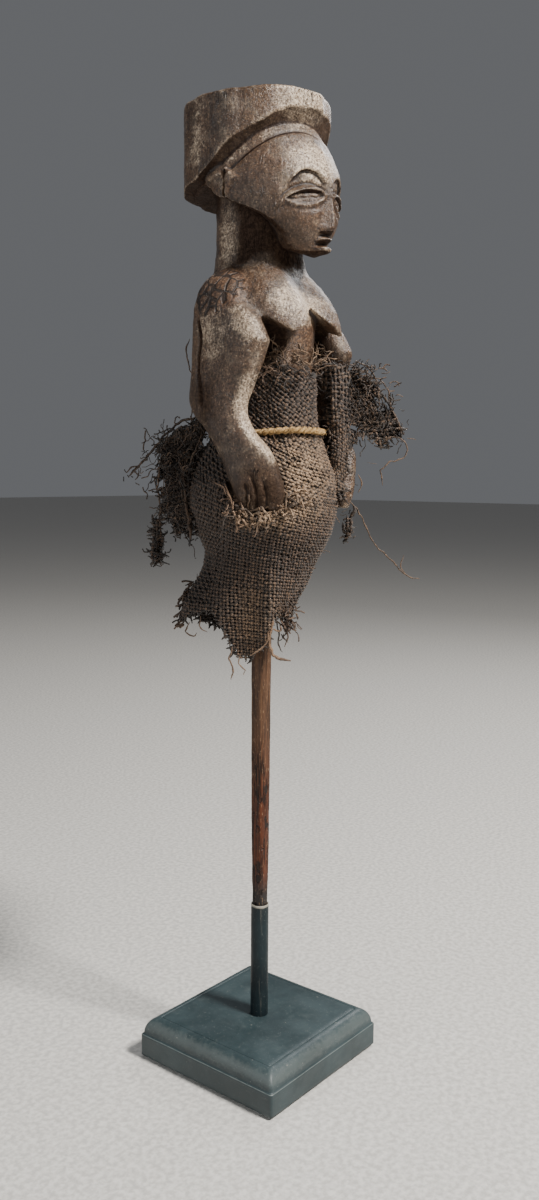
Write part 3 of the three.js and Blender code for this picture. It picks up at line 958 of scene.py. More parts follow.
# Half-widths of the wrapped cloth at each height: to the right, left, near and far side of that view.
WRAP_SHAPE = [
    (414, 28.0, 25.5, 27.0, 25.0), (400, 28.0, 25.5, 27.5, 25.0), (385, 28.3, 25.5, 27.5, 25.0),
    (374, 29.8, 26.5, 28.5, 26.0), (367, 30.2, 26.3, 28.8, 25.8), (361, 33.5, 30.0, 32.5, 29.0),
    (352, 37.2, 35.0, 37.0, 33.0), (338, 41.6, 39.5, 40.5, 38.0), (326, 41.8, 39.0, 41.0, 38.5),
    (312, 38.6, 33.2, 37.0, 34.0), (303, 33.4, 31.2, 32.5, 30.0), (292, 26.8, 33.5, 28.5, 26.0),
    (281, 21.9, 39.5, 25.5, 24.0), (273, 17.4, 44.5, 23.5, 22.0), (262, 14.5, 46.0, 20.5, 19.0),
    (250, 12.5, 44.0, 17.0, 17.0), (238, 11.5, 40.0, 14.5, 15.0),
]

# Lower edge by degrees round from the near side, positive to the right.
HEM = [
    (-180, 262), (-150, 255), (-120, 262), (-95, 262), (-75, 261), (-60, 265), (-42, 270), (-33, 267),
    (-29, 260), (-26, 250), (-22, 245), (-12, 242.5), (-3, 245), (10, 251), (18, 254), (27, 263), (45, 266),
    (70, 269), (90, 271), (125, 266), (155, 257), (180, 262),
]


def wrap_radii(z):
    return [table([(row[0], row[k]) for row in WRAP_SHAPE], 7.0)(z) for k in (1, 2, 3, 4)]


WRAP_TOP = 412.0
WRAP_BOTTOM = 238.0
WRAP_PITCH = 1.9  # between neighbouring threads


def meridian():
    """Lengths down the cloth from its top edge, and the heights there."""
    z = np.arange(WRAP_TOP, WRAP_BOTTOM - 0.25, -0.25)
    mean = np.mean(wrap_radii(z), axis=0)
    return np.concatenate([[0], np.cumsum(np.hypot(np.diff(z), np.diff(mean)))]), z


MERIDIAN_LENGTH, MERIDIAN_Z = meridian()
WRAP_LENGTH = MERIDIAN_LENGTH[-1]
ROUND_REACH = 150  # furthest length round the cloth in the turn table, on each side of the near side
DOWN_STEP = 2.0  # between the turn table's rows


def wrap_section(turn, z):
    """Smooth section of the cloth, before folds, at a turn round the figure and a height."""
    right, left, near, far = wrap_radii(z)
    return (np.sin(turn) * np.where(np.sin(turn) > 0, right, left),
            np.cos(turn) * np.where(np.cos(turn) > 0, near, far))


def turn_table():
    """Turn round the figure at even lengths round the cloth, for even lengths down it."""
    turn = np.radians(np.arange(-200, 201, 2.0))
    lengths = np.arange(-ROUND_REACH, ROUND_REACH + 1, 1.0)
    rows = []
    for z in np.interp(np.arange(0, WRAP_LENGTH + DOWN_STEP, DOWN_STEP), MERIDIAN_LENGTH, MERIDIAN_Z):
        s, t = wrap_section(turn, z)
        run = np.concatenate([[0], np.cumsum(np.hypot(np.diff(s), np.diff(t)))])
        run = run - np.interp(0, turn, run)
        rows.append(np.interp(lengths, run, turn))
    return np.array(rows)


TURN_TABLE = turn_table()


def wrap_angle(u, v):
    """Turn round the figure of the point u across and v down the cloth; the near side is 0."""
    across = u + 0.1 * (v - 95) * smoothstep(60, 120, v)  # the skirt is pulled round a little
    across = np.clip(across + ROUND_REACH, 0, 2 * ROUND_REACH - 0.01)
    down = np.clip(v / DOWN_STEP, 0, len(TURN_TABLE) - 1.01)
    column, row = across.astype(int), down.astype(int)
    a, b = across - column, down - row
    upper = TURN_TABLE[row, column] * (1 - a) + TURN_TABLE[row, column + 1] * a
    lower = TURN_TABLE[row + 1, column] * (1 - a) + TURN_TABLE[row + 1, column + 1] * a
    return upper * (1 - b) + lower * b


def wrap_point(u, v):
    """Place (s, t, z) of the point u across and v down the cloth."""
    v = np.clip(v, 0, WRAP_LENGTH)
    z = np.interp(v, MERIDIAN_LENGTH, MERIDIAN_Z)
    turn = wrap_angle(u, v)
    s, t = wrap_section(turn, z)
    # Stay outside the carved body.
    half_width, front, back = (column(z) for column in profile(TORSO))
    spread = np.hypot(s, t)
    x = (s * ACROSS[0] + t * TOWARDS[0]) / spread
    f = -(s * ACROSS[1] + t * TOWARDS[1]) / spread
    depth = np.where(f > 0, front, back)
    body = 1 / np.maximum((np.abs(x) / half_width) ** 2.1 + (np.abs(f) / depth) ** 2.1, 1e-6) ** (1 / 2.1)
    inside = (z > 290) & (z < 412)
    reach = np.where(inside, np.maximum(spread, body + 1.7), spread)
    # Soft folds, pulled in under the cord and fuller towards the hem.
    low = smoothstep(312, 268, z)
    folds = low * (1.5 * np.sin(5 * turn + 0.6 + z * 0.02) + 0.9 * np.sin(9 * turn + 2.0 - z * 0.03))
    gather = 0.5 * bump(z - 360, 16) * np.sin(21 * turn + 1.0)
    q = np.stack([s, t, z], -1).reshape(-1, 3)
    crumple = (0.8 * noise(q, 15, 5) + 0.35 * noise(q, 6, 9)).reshape(np.shape(z))
    # The edge of the torn opening stands out under the fingers.
    lip_out = 4.0 * np.exp(-((s + 1) / 13) ** 2 - ((z - 320) / 5.0) ** 2) * (t > 0)
    scale = (reach + folds + gather + crumple + lip_out) / spread
    return s * scale, t * scale, z


def wrap_surface(u, v):
    s, t, z = wrap_point(u, v)
    points = place(s, t, z)
    du = place(*wrap_point(u + 0.8, v)) - place(*wrap_point(u - 0.8, v))
    dv = place(*wrap_point(u, v + 0.8)) - place(*wrap_point(u, v - 0.8))
    return points, unit(np.cross(dv, du))


def wrap_keep(u, v):
    """True where the cloth is left between its torn top edge, hem and opening."""
    turn = np.degrees(wrap_angle(u, v))
    s, t, z = wrap_point(u, v)
    hem = np.interp(turn, [row[0] for row in HEM], [row[1] for row in HEM])
    along = np.stack([u / 5, v * 0, v * 0], -1).reshape(-1, 3)
    ragged = 2.0 * layered_noise(along, 1.0, 2, 31).reshape(u.shape)
    top = 402 + 3.0 * np.sin(np.radians(turn) * 3 + 1) + 3.6 * ragged - 8 * smoothstep(-15, -50, turn)
    hole = ((s + 4) / 14.5) ** 2 + ((z - 335) / 12.5) ** 2 + 0.12 * ragged < 1
    return (np.abs(turn) < 178) & (z > hem + ragged) & (z < top) & ~(hole & (t > 10))


# The cloth was wrapped on the bias: degrees its threads are turned, by length down from the top edge.
BIAS = [(-60, 44), (0, 44), (50, 38), (75, 27), (100, 17), (130, 8), (190, 2), (260, 0)]
BIAS_STEP = 0.5
BIAS_V = np.arange(BIAS[0][0], BIAS[-1][0], BIAS_STEP)
BIAS_ANGLE = np.radians(table(BIAS, 16.0)(BIAS_V))
# Summed down the cloth: how far apart the cross threads lie, and how far sideways they slope.
BIAS_ROWS = np.cumsum(1 / np.cos(BIAS_ANGLE)) * BIAS_STEP + BIAS[0][0]
BIAS_SHIFT = np.cumsum(np.tan(BIAS_ANGLE)) * BIAS_STEP


def biased(p, q):
    """Place on the cloth, across and down, of warp thread p and weft thread q."""
    level = np.interp(q, BIAS_V, BIAS_ROWS - BIAS_ROWS[-1] + BIAS_V[-1])
    v = level
    for _ in range(4):
        angle = np.interp(v, BIAS_V, BIAS_ANGLE)
        u = p / np.cos(angle) - np.interp(v, BIAS_V, BIAS_SHIFT - BIAS_SHIFT[-1])
        v = level + np.tan(angle) * 34 * np.tanh(u / 34)
    return u, v


def biased_surface(p, q):
    return wrap_surface(*biased(p, q))


def biased_keep(p, q):
    u, v = biased(p, q)
    return wrap_keep(u, v) & (v > 0) & (v < WRAP_LENGTH)


def wrap_tint(vertices):
    """How golden the cloth is at each vertex, and how much darker: towards the left of the view, in a band
    under the belly, towards the top and at the lower right.
    """
    s, t, z = vertices @ ACROSS, vertices @ TOWARDS, vertices[:, 2]
    belly = np.exp(-((s - 20) / 15) ** 2 - ((z - 345) / 22) ** 2) * (t > -12)
    lower = 0.35 * np.exp(-((s + 4) / 16) ** 2 - ((z - 268) / 20) ** 2) * (t > 0)
    edge = 0.7 * smoothstep(400, 409, z)
    opening = 0.9 * np.exp(-((s - 2) / 17) ** 2 - ((z - 322) / 5) ** 2) * (t > 10)
    darkness = 0.75 * smoothstep(-8, -30, s) + 0.6 * np.exp(-((z - 298) / 18) ** 2)
    darkness = darkness + 0.5 * smoothstep(360, 372, z)
    darkness = darkness + 0.8 * smoothstep(8, 13, s) * smoothstep(280, 270, z)
    return np.clip(belly + lower + edge + opening, 0, 1), np.clip(darkness, 0, 1)


# Loose strands of the wrap, as (s, t, z) points and a radius.
WRAP_STRANDS = [
    # Stiff tan strand beside the stem, and one that crosses it.
    ([(7, 20, 270), (5, 19, 258), (4, 17, 250), (6, 16, 245), (10, 15, 242), (16, 15, 241)], 0.85),
    ([(2, 20, 262), (4, 19, 255), (1, 18, 249), (-6, 18, 244)], 0.5),
    ([(13, 14, 272), (15, 13, 266), (18, 13, 261), (19, 13, 258)], 0.5),
    ([(9, 16, 268), (12, 15, 260), (15, 14, 254), (13, 14, 249)], 0.45),
    ([(8, 16, 266), (10, 16, 256), (9, 15, 250), (12, 15, 246)], 0.4),
    ([(15, 12, 276), (18, 11, 269), (17, 11, 263)], 0.45),
    ([(12, 14, 262), (15, 13, 258), (12, 13, 254), (15, 13, 251)], 0.35),
    ([(-16, 20, 250), (-18, 20, 243), (-15, 19, 237), (-17, 18, 231)], 0.45),
    ([(-12, 20, 246), (-13, 20, 240), (-9, 19, 236), (-10, 18, 233)], 0.35),
    ([(-40, 12, 262), (-43, 12, 257), (-38, 12, 253), (-36, 12, 256)], 0.4),
    ([(-34, 16, 266), (-35, 16, 260), (-30, 16, 257)], 0.35),
    # Branching pale thread left of the hand.
    ([(-20, 39, 340), (-17, 41, 333), (-15.5, 42, 325), (-13, 43, 320)], 0.6),
    ([(-27, 35, 341), (-21, 39, 338), (-17, 41, 331)], 0.45),
    ([(-16, 42, 327), (-20, 41, 321), (-22, 41, 312)], 0.4),
]


def wrap_loose(random):
    """Paths and radii of the wrap's loose threads."""
    loose = []
    # Tan threads that stand up from the torn top edge.
    for turn in random.uniform(-40, 120, 300):
        angle = math.radians(turn)
        s, t = 27.5 * math.sin(angle), 27.5 * math.cos(angle)
        root = place(s, t, random.uniform(394, 409))
        out = place(math.sin(angle), math.cos(angle), 0) * random.uniform(-0.2, 1.0)
        heading = out + np.array([0, 0, 1.0])
        loose.append(loose_thread(root, heading, (5, 21), (0.15, 0.42), random, curl=0.8, drop=0.03))
    # Ends of the cross threads at the torn left corner of the skirt.
    for z0 in random.uniform(258, 284, 34):
        s0 = np.interp(z0, [258, 266, 277, 284], [-44, -45, -42.5, -38.5])
        root = place(s0, random.uniform(-4, 8), z0)
        loose.append(loose_thread(root, place(-1.0, 0.2, -0.3), (3, 8), (0.3, 0.7), random, curl=0.45))
    # Threads pulled loose along the lower edge of the opening, then all over the cloth.
    for s0 in random.uniform(-17, 17, 120):
        t0 = 41.5 - 0.012 * s0 ** 2
        z0 = 321.5 + 0.045 * (s0 + 1) ** 2 + random.normal(0, 1.5)
        root = place(s0, t0, z0)
        heading = place(random.choice([-1, 1]), random.uniform(-0.1, 0.5), random.uniform(-0.6, 0.5))
        loose.append(loose_thread(root, heading, (5, 15), (0.25, 0.7), random, curl=0.6, drop=0.05))
    for _ in range(150):
        u, v = random.uniform(-60, 60), random.uniform(10, WRAP_LENGTH - 10)
        point, normal = wrap_surface(np.array([[u]]), np.array([[v]]))
        if not wrap_keep(np.array([[u]]), np.array([[v]]))[0, 0]:
            continue
        root = point[0, 0] + normal[0, 0] * 0.8
        heading = normal[0, 0] * 0.5 + random.normal(0, 0.8, 3)
        loose.append(loose_thread(root, heading, (2, 8), (0.12, 0.26), random, curl=0.9, drop=0.05))
    loose += [strand(points, radius, random) for points, radius in WRAP_STRANDS]
    # Dark tuft at the hem's right end.
    for _ in range(90):
        root = place(*(np.array([13.5, 14, 265]) + random.normal(0, 1, 3) * [2.6, 2, 4.5]))
        loose.append(loose_thread(root, place(0.6, 0.2, -0.8), (3, 8), (0.2, 0.5), random, curl=0.8))
    return loose


def build_wrap(threads, base):
    """Thin dark sheet of painted shade under the threads, the warp and weft that lie on it, and the frayed
    and loose threads.
    """
    round_span, down_span = (-128.0, 128.0), (0.0, WRAP_LENGTH)
    sheet = mesh_object("wrap_sheet", *sheet_mesh(wrap_surface, wrap_keep, round_span, down_span, 2.0, 0.75),
                        base)
    warp, weft = weave(biased_surface, biased_keep, (-260, 160), (-60, 230), WRAP_PITCH, 41,
                       fray=(1.0, 7.0), radius=0.86, lift=0.58)
    random = np.random.default_rng(77)
    loose = wrap_loose(random)
    pieces = []
    for name, (paths, radii, crests) in (("wrap_warp", warp), ("wrap_weft", weft)):
        pieces.append(thread_object(name, paths, radii, threads, 4, wrap_tint, crests))
    crests = [np.full(len(path), random.uniform(0.6, 1.25)) for path, _ in loose]
    pieces.append(thread_object("wrap_fray", *zip(*loose), threads, 4, wrap_tint, crests))
    for piece in [sheet] + pieces:
        attach(piece, "doll", "wrap_cloth")


# ---------------------------------------------------------------- rags at the elbows

RAG_PITCH = 2.1  # between neighbouring threads of the torn ends


def patch_surface(corners, sag, crumple, seed):
    """Crumpled four-sided patch; corners are (s, t, z) for top left, top right, bottom left, bottom right."""
    corners = np.array(corners, float)
    width = np.linalg.norm(corners[1] - corners[0])
    height = np.linalg.norm(corners[2] - corners[0])

    def at(u, v):
        a, b = u / width, v / height
        a, b = a[..., None], b[..., None]
        flat = (1 - a) * (1 - b) * corners[0] + a * (1 - b) * corners[1]
        flat = flat + (1 - a) * b * corners[2] + a * b * corners[3]
        q = flat.reshape(-1, 3)
        wave = np.stack([layered_noise(q + 7 * k, 13, 2, seed + k) for k in range(3)], -1).reshape(flat.shape)
        flat = flat + wave * np.array([0.6, 1.6, 0.6]) * crumple
        flat[..., 1] += (sag * np.sin(math.pi * np.clip(a, 0, 1)))[..., 0]
        return place(flat[..., 0], flat[..., 1], flat[..., 2])

    def surface(u, v):
        du = at(u + 0.5, v) - at(u - 0.5, v)
        dv = at(u, v + 0.5) - at(u, v - 0.5)
        return at(u, v), unit(np.cross(dv, du))
    return surface, width, height


def torn_keep(width, height, seed, tear=0.16, holes=0.0):
    def keep(u, v):
        a, b = u / width, v / height
        q = np.stack([u / 5, v / 5, u * 0], -1).reshape(-1, 3)
        rough = tear * layered_noise(q, 1.0, 2, seed).reshape(u.shape)
        inside = (a > 0.02 + rough * 0.5) & (a < 0.98 + rough)
        inside = inside & (b < 0.94 + rough) & (b > 0.03 + 0.5 * rough)
        if holes:
            gaps = noise(q, 1.9, seed + 5).reshape(u.shape)
            inside = inside & (gaps < 1 - holes)
        return inside
    return keep


def warm_and_dark_tint(level, warm=0.0):
    def tint(vertices):
        z = vertices[:, 2]
        patch = 0.5 + 0.5 * noise(vertices, 9, 3)
        return np.full(len(z), warm) * patch, np.full(len(z), level) * (0.6 + 0.4 * patch)
    return tint


def build_rag(name, patches, strands, curls, level, threads, base):
    """Torn cloth of crumpled patches, with loose strands and clouds of curled ends, for the node name."""
    random = np.random.default_rng(len(name) * 13 + 5)
    sheets, paths, radii, crests = [], [], [], []
    for k, (corners, sag, crumple, tear, holes) in enumerate(patches):
        surface, width, height = patch_surface(corners, sag, crumple, 60 + 11 * k + len(name))
        keep = torn_keep(width, height, 90 + k, tear, holes)
        sheets.append((surface, keep, width, height))
        families = weave(surface, keep, (0, width), (0, height), RAG_PITCH, 50 + k, fray=(2, 8), curl=0.8)
        for part, part_radii, part_crests in families:
            paths += part
            radii += part_radii
            crests += part_crests
    for points, radius in strands:
        path, thick = strand(points, radius, random)
        paths.append(path)
        radii.append(thick)
        crests.append(np.full(len(path), 0.95))
    for centre, spread, count, length in curls:
        for _ in range(count):
            root = place(*(np.array(centre) + random.normal(0, 1, 3) * np.array(spread)))
            path, thick = loose_thread(root, random.normal(0, 1, 3), (0.4 * length, length), (0.18, 0.42),
                                       random, curl=0.9, drop=0.12)
            paths.append(path)
            radii.append(thick)
            crests.append(np.full(len(path), random.uniform(0.3, 1.0)))
    weave_piece = thread_object(name + "_threads", paths, radii, threads, 4, warm_and_dark_tint(level, 0.25), crests)
    # The sheets under the threads are painted shade that shows between them.
    vertices, faces, offset = [], [], 0
    for surface, keep, width, height in sheets:
        points, quads = sheet_mesh(surface, keep, (0, width), (0, height), 2.0, 0.5)
        vertices.append(points)
        faces.append(quads + offset)
        offset += len(points)
    sheet = mesh_object(name + "_sheet", np.concatenate(vertices), np.concatenate(faces), base)
    for piece in (sheet, weave_piece):
        attach(piece, "doll", name)


def build_rags(threads, base):
    # Behind the figure's right elbow: a crumpled flap, a dark hanging bundle and two tufts.
    build_rag("right_rag", [
        ([(-60, -6, 363), (-30, -2, 378), (-57, -8, 345), (-33, -4, 350)], 4, 2.6, 0.15, 0.2),
        ([(-59, -10, 350), (-32, -10, 360), (-58, -12, 316), (-33, -12, 304)], -5, 3.0, 0.2, 0.15),
        ([(-52, 0, 354), (-34, 2, 368), (-50, -2, 312), (-37, 0, 304)], 3, 3.0, 0.25, 0.4),
        ([(-64, -8, 318), (-56, -6, 319), (-66, -8, 293), (-56, -6, 290)], 3, 2.2, 0.25, 0.2),
    ], [
        ([(-36, 0, 377), (-46, -2, 374), (-55, -4, 366), (-64, -6, 356), (-71, -6, 348), (-76, -6, 343)],
         0.7),
        ([(-46, 4, 352), (-44, 4, 342), (-43, 5, 328), (-41, 5, 318), (-40, 5, 308)], 0.9),
        ([(-58, -4, 350), (-60, -6, 336), (-58, -6, 326), (-59, -6, 318)], 0.5),
        ([(-55, 2, 340), (-52, 2, 332), (-54, 2, 324)], 0.45),
        ([(-70, -6, 349), (-74, -5, 349), (-77, -4, 345)], 0.5),
        ([(-71, -6, 347), (-70, -6, 343), (-73, -6, 341)], 0.45),
        ([(-50, 4, 345), (-54, 3, 335), (-50, 3, 328)], 0.5),
        ([(-36, 6, 372), (-44, 5, 362), (-52, 3, 352), (-60, 0, 347)], 0.5),
        ([(-34, 6, 366), (-40, 6, 352), (-46, 5, 342), (-45, 5, 332)], 0.45),
        # Threads caught in the split of the upper arm.
        ([(-41, 2, 419), (-42.5, 2, 412), (-41, 2, 404), (-38, 8, 396), (-33, 10, 392)], 0.4),
        ([(-36, 9, 399), (-33, 11, 392), (-35, 10, 384), (-34, 10, 377)], 0.45),
        ([(-31, 12, 394), (-34, 11, 388), (-33, 11, 382)], 0.35),
        ([(-40, 3, 372), (-39, 5, 380), (-37, 8, 386)], 0.35),
    ], [
        ((-50, 0, 354), (8, 4, 7), 180, 15), ((-46, 2, 336), (6, 4, 12), 190, 13),
        ((-60, -6, 305), (2.2, 2, 7), 60, 7), ((-44, 0, 316), (3, 2, 5), 46, 8),
        ((-74, -5, 345), (2, 2, 2), 10, 4), ((-36, 4, 368), (3, 4, 6), 50, 10),
    ], 1.0, threads, base)
    # At the figure's left elbow: a flap held out by the forearm, and a tongue that hangs inside it.
    build_rag("left_rag", [
        ([(37, -8, 402), (60, -10, 406), (39, -6, 364), (84, -14, 359)], -4, 2.6, 0.17, 0.2),
        ([(32, 6, 404), (46, 2, 407), (34, 6, 370), (52, 0, 362)], 4, 2.4, 0.16, 0.3),
        ([(36, 6, 382), (49, 2, 372), (40, 6, 330), (47, 3, 328)], 3, 1.8, 0.16, 0.2),
        ([(46, -2, 322), (51, -3, 322), (47, -3, 309), (50, -4, 309)], 1, 1.2, 0.2, 0.0),
    ], [
        ([(50, 0, 330), (54, -2, 325), (59, -4, 316), (63, -6, 308), (67, -8, 303), (74, -9, 297),
          (80, -10, 290), (86, -11, 286), (92, -12, 285)], 0.42),
        ([(84, -11, 287), (80, -10, 292), (82, -10, 299)], 0.34),
        ([(72, -12, 367), (79, -13, 366), (83, -13, 362), (82.5, -13, 355), (75.5, -12, 353),
          (67.5, -12, 348), (69.5, -12, 339)], 0.4),
        ([(83, -13, 366), (88, -13, 365)], 0.4),
        ([(60, -8, 352), (66, -9, 351)], 0.2),
        ([(66, -10, 400), (71, -11, 393), (73, -11, 384), (79, -12, 372)], 0.4),
        ([(34, 4, 412), (38, 3, 404), (45, 0, 396), (50, -2, 386)], 0.5),
        ([(52, -6, 408), (60, -8, 405), (66, -9, 396)], 0.45),
        ([(55, -8, 345), (57, -8, 340), (55, -8, 335)], 0.4),
    ], [
        ((56, -4, 385), (9, 2.5, 9), 150, 10), ((50, -4, 404), (8, 3, 2), 70, 9),
        ((64, -9, 397), (2, 2, 3), 18, 8), ((71, -11, 385), (2, 2, 4), 20, 8),
        ((78, -12, 371), (2, 2, 4), 18, 7), ((44, 4, 350), (3, 2, 14), 44, 8),
        ((62, -8, 366), (10, 3, 2), 34, 6), ((49, -3, 314), (2, 2, 4), 14, 6),
        ((40, 2, 388), (5, 3, 9), 40, 9),
    ], 0.55, threads, base)


# ---------------------------------------------------------------- waist twine

def loop_path(turns):
    """Middle line of the waist twine; 0 is the figure's back."""
    x = -27.65 * np.sin(turns)
    front = 3.0 - 32.65 * np.cos(turns)
    s = x * ACROSS[0] - front * ACROSS[1]
    z = WAIST + 1.3 * s / 30 + 0.5 * np.sin(3 * turns)
    return np.stack([x, -front, z], -1)


def two_ply(path, ply, offset, pitch):
    """Two strands twisted round a path."""
    ahead = np.roll(path, -1, 0)
    tangent = unit(np.gradient(path, axis=0))
    side = unit(np.cross(tangent, np.broadcast_to([0.02, 0.01, 1.0], tangent.shape)))
    up = np.cross(side, tangent)
    length = np.concatenate([[0], np.cumsum(np.linalg.norm((ahead - path)[:-1], axis=1))])
    strands = []
    for start in (0, math.pi):
        angle = start + 2 * math.pi * length / pitch
        line = path + offset * (np.cos(angle)[:, None] * side + np.sin(angle)[:, None] * up)
        swell = 1 + 0.14 * np.sin(length * 0.9 + start * 3) + 0.08 * np.sin(length * 2.3)
        strands.append((line, ply * swell))
    return strands


def build_twine(material):
    """Two-ply twine round the waist, its knot and ends at the back, and the fibres that stand off it."""
    turns = np.linspace(0, 2 * math.pi, 620)
    strands = two_ply(loop_path(turns), 1.06, 0.84, 7.5)
    knot = np.linspace(0, 4 * math.pi, 90)
    tie = np.stack([2.6 * np.sin(knot) * (1 - knot / 40), 31.4 + 1.6 * np.cos(knot),
                    WAIST + 1.7 * np.cos(knot * 0.5)], -1)
    strands += two_ply(tie, 0.95, 0.7, 7.0)
    for side in (-1, 1):
        fall = np.linspace(0, 1, 40)
        end = np.stack([side * (1 + 5 * fall), 32 + 5 * fall - 2 * fall ** 2, WAIST - 15 * fall ** 1.4], -1)
        strands += two_ply(end, 0.9, 0.65, 7.0)
    obj = thread_object("waist_twine", *zip(*strands), material, 8)
    random = np.random.default_rng(5)
    hairs = []
    for turn in random.uniform(0, 2 * math.pi, 150):
        root = loop_path(np.array([turn]))[0]
        out = unit(root - np.array([0, 0, root[2]]))
        root = root + out * 1.5
        hairs.append(loose_thread(root, out + random.normal(0, 1, 3), (1.5, 5), (0.07, 0.13), random,
                                  step=0.6, curl=0.7, drop=0.0))
    hair_piece = thread_object("waist_twine_fibres", *zip(*hairs), material, 3)
    for piece in (obj, hair_piece):
        attach(piece, "doll", "waist_cord")


# ---------------------------------------------------------------- stand and stem

def loops_mesh(loops):
    """Vertices and quads of stacked closed loops, each (n, 3)."""
    n = len(loops[0])
    vertices = np.concatenate(loops)
    k = np.arange(n)
    quads = []
    for row in range(len(loops) - 1):
        a = row * n
        quads.append(np.stack([a + k, a + (k + 1) % n, a + n + (k + 1) % n, a + n + k], -1))
    return vertices, np.concatenate(quads)


def square_loop(half, corner, z, per_side=40):
    """Closed square loop with rounded corners."""
    arc = np.linspace(0, math.pi / 2, 7)
    points = []
    for quarter in range(4):
        middle = np.array([half - corner, half - corner])
        bend = middle + corner * np.stack([np.cos(arc), np.sin(arc)], -1)
        following = np.array([-(half - corner), half])
        run = np.linspace(bend[-1], following, per_side)[1:-1]
        side = np.concatenate([bend, run])
        turn = quarter * math.pi / 2
        spin = np.array([[math.cos(turn), math.sin(turn)], [-math.sin(turn), math.cos(turn)]])
        points.append(side @ spin)
    flat = np.concatenate(points)
    return np.column_stack([flat, np.full(len(flat), z)])


def build_plinth():
    low, high = PLINTH_LOW[2], PLINTH_HIGH[2]
    half = (PLINTH_HIGH[0] - PLINTH_LOW[0]) / 2
    shoulder = high - 9.1  # where the upright sides end and the quarter-round starts
    rows = [(half - 3, low), (half - 0.5, low), (half, low + 0.5)]
    rows += [(half, z) for z in np.linspace(low + 2, shoulder - 1.6, 5)]
    rows += [(half, shoulder - 1.0), (half - 0.35, shoulder - 0.55), (half - 0.9, shoulder - 0.35)]
    rows.append((half - 1.1, shoulder))
    for turn in np.linspace(0.08, 1, 12) * math.pi / 2:
        inset = 1.1 + 7.0 * (1 - math.cos(turn))
        rows.append((half - inset, shoulder + (high - 0.1 - shoulder) * math.sin(turn)))
    # A fine line cut round the flat top.
    rows += [(half - 8.5, high - 0.08), (half - 8.75, high - 0.8), (half - 9.0, high - 0.08)]
    rows.append((half - 9.2, high))
    rows += [(size, high) for size in (38, 30, 20, 10, 4)]
    loops = [square_loop(size, max(min(1.6, size * 0.3), 0.3), z) for size, z in rows]
    vertices, quads = loops_mesh(loops)
    # Hand-finished: edges and faces are very slightly uneven.
    uneven = [noise(vertices, 14, 71), noise(vertices, 14, 72), 0 * vertices[:, 0]]
    obj = mesh_object("plinth", vertices + 0.12 * np.stack(uneven, -1), quads, plinth_paint())
    attach(obj, "stand", "plinth_block")


def build_tube():
    low, high = TUBE_LOW[2], TUBE_HIGH[2]
    outer = (TUBE_HIGH[0] - TUBE_LOW[0]) / 2
    rows = [(outer, low)] + [(outer, z) for z in np.linspace(low + 5, high - 1, 16)]
    rows += [(outer, high - 0.15), (outer - 0.12, high), (outer - 0.42, high), (outer - 0.5, high - 0.2)]
    rows += [(outer - 0.5, z) for z in (high - 6, high - 14)]
    turn = np.linspace(0, 2 * math.pi, 65)[:-1]
    loops = [np.stack([r * np.cos(turn), r * np.sin(turn), np.full(64, z)], -1) for r, z in rows]
    vertices, quads = loops_mesh(loops)
    obj = mesh_object("tube", vertices, quads, tube_paint())
    attach(obj, "stand", "mount_tube")


# Height, and the share of its full width that the stem has there.
STEM_SHARE = [(64.8, 0.72), (77, 0.77), (93, 0.77), (130, 0.89), (168, 0.96), (240, 1.0), (318, 1.0)]


def build_stem():
    low, high = STEM_LOW[2], STEM_HIGH[2]
    half = (STEM_HIGH[0] - STEM_LOW[0]) / 2
    z = np.arange(low, high, 1.2)
    share = table(STEM_SHARE, 16.0)(z)
    turn = np.linspace(0, 2 * math.pi, 57)[:-1]
    power = 3.7  # a square with well-rounded corners
    shape = 1 / (np.abs(np.cos(turn)) ** power + np.abs(np.sin(turn)) ** power) ** (1 / power)
    loops = []
    for height, scale in zip(z, share):
        radius = half * scale * shape
        loops.append(np.stack([radius * np.cos(turn), radius * np.sin(turn), np.full(56, height)], -1))
    loops.insert(0, loops[0] * [0.02, 0.02, 1])
    vertices, quads = loops_mesh(loops)
    away = vertices * [1, 1, 0] / np.maximum(np.linalg.norm(vertices[:, :2], axis=1), 0.5)[:, None]
    whittled = 0.16 * noise(vertices * [1, 1, 0.35], 3.2, 81) + 0.08 * noise(vertices, 1.6, 82)
    free = smoothstep(94, 100, vertices[:, 2])
    vertices = vertices + away * (whittled * free)[:, None]
    obj = mesh_object("carved_stem", vertices, quads, stem_wood())
    attach(obj, "doll", "stem")


# ---------------------------------------------------------------- finishes of the other parts

def height_of(s):
    return s.node("SeparateXYZ", Vector=s.place).outputs[2]


def satin_paint(name, deep, body, rubbed, bands, streaks, specular=0.5):
    """Dark satin paint, made pale in (low, high, share) bands of height that stand for worn paint and for
    painted highlights, with dust and small chips.
    """
    s = Shader(name)
    z = height_of(s)
    cloud = s.noise(30, 4, 0.6)
    brush = s.noise(1.0, 4, 0.65, s.stretched(*streaks))
    tone = s.shade(cloud, 0.35, 0.65, deep, body)
    tone = s.mix(s.ramp(brush, 0.55, 0.9, 0.0, 0.3), tone, rubbed)
    speckle = s.times(s.less(s.noise(420, 5, 0.75), 0.5), 1.5)
    for low, high, share in bands:
        middle, half = (low + high) / 2, (high - low) / 2
        away = s.math("ABSOLUTE", s.less(z, middle))
        worn_and_highlit = s.add(s.ramp(away, half, 0.0), speckle)
        tone = s.mix(s.times(s.ramp(worn_and_highlit, 0.3, 1.0), share), tone, rubbed)
    dust = s.ramp(s.noise(1500, 2, 0.7), 0.68, 0.74)
    tone = s.mix(s.times(dust, 0.45), tone, "b9bcb6")
    chips = s.ramp(s.noise(420, 3, 0.7), 0.72, 0.735)
    tone = s.mix(chips, tone, "a8a59a")
    height = s.less(s.times(brush, 0.2), s.times(chips, 0.8))
    rough = s.ramp(s.noise(70, 4, 0.6), 0.3, 0.7, 0.36, 0.52)
    return s.finish(tone, rough, s.bump(height, 0.0003, 0.5), specular=specular)


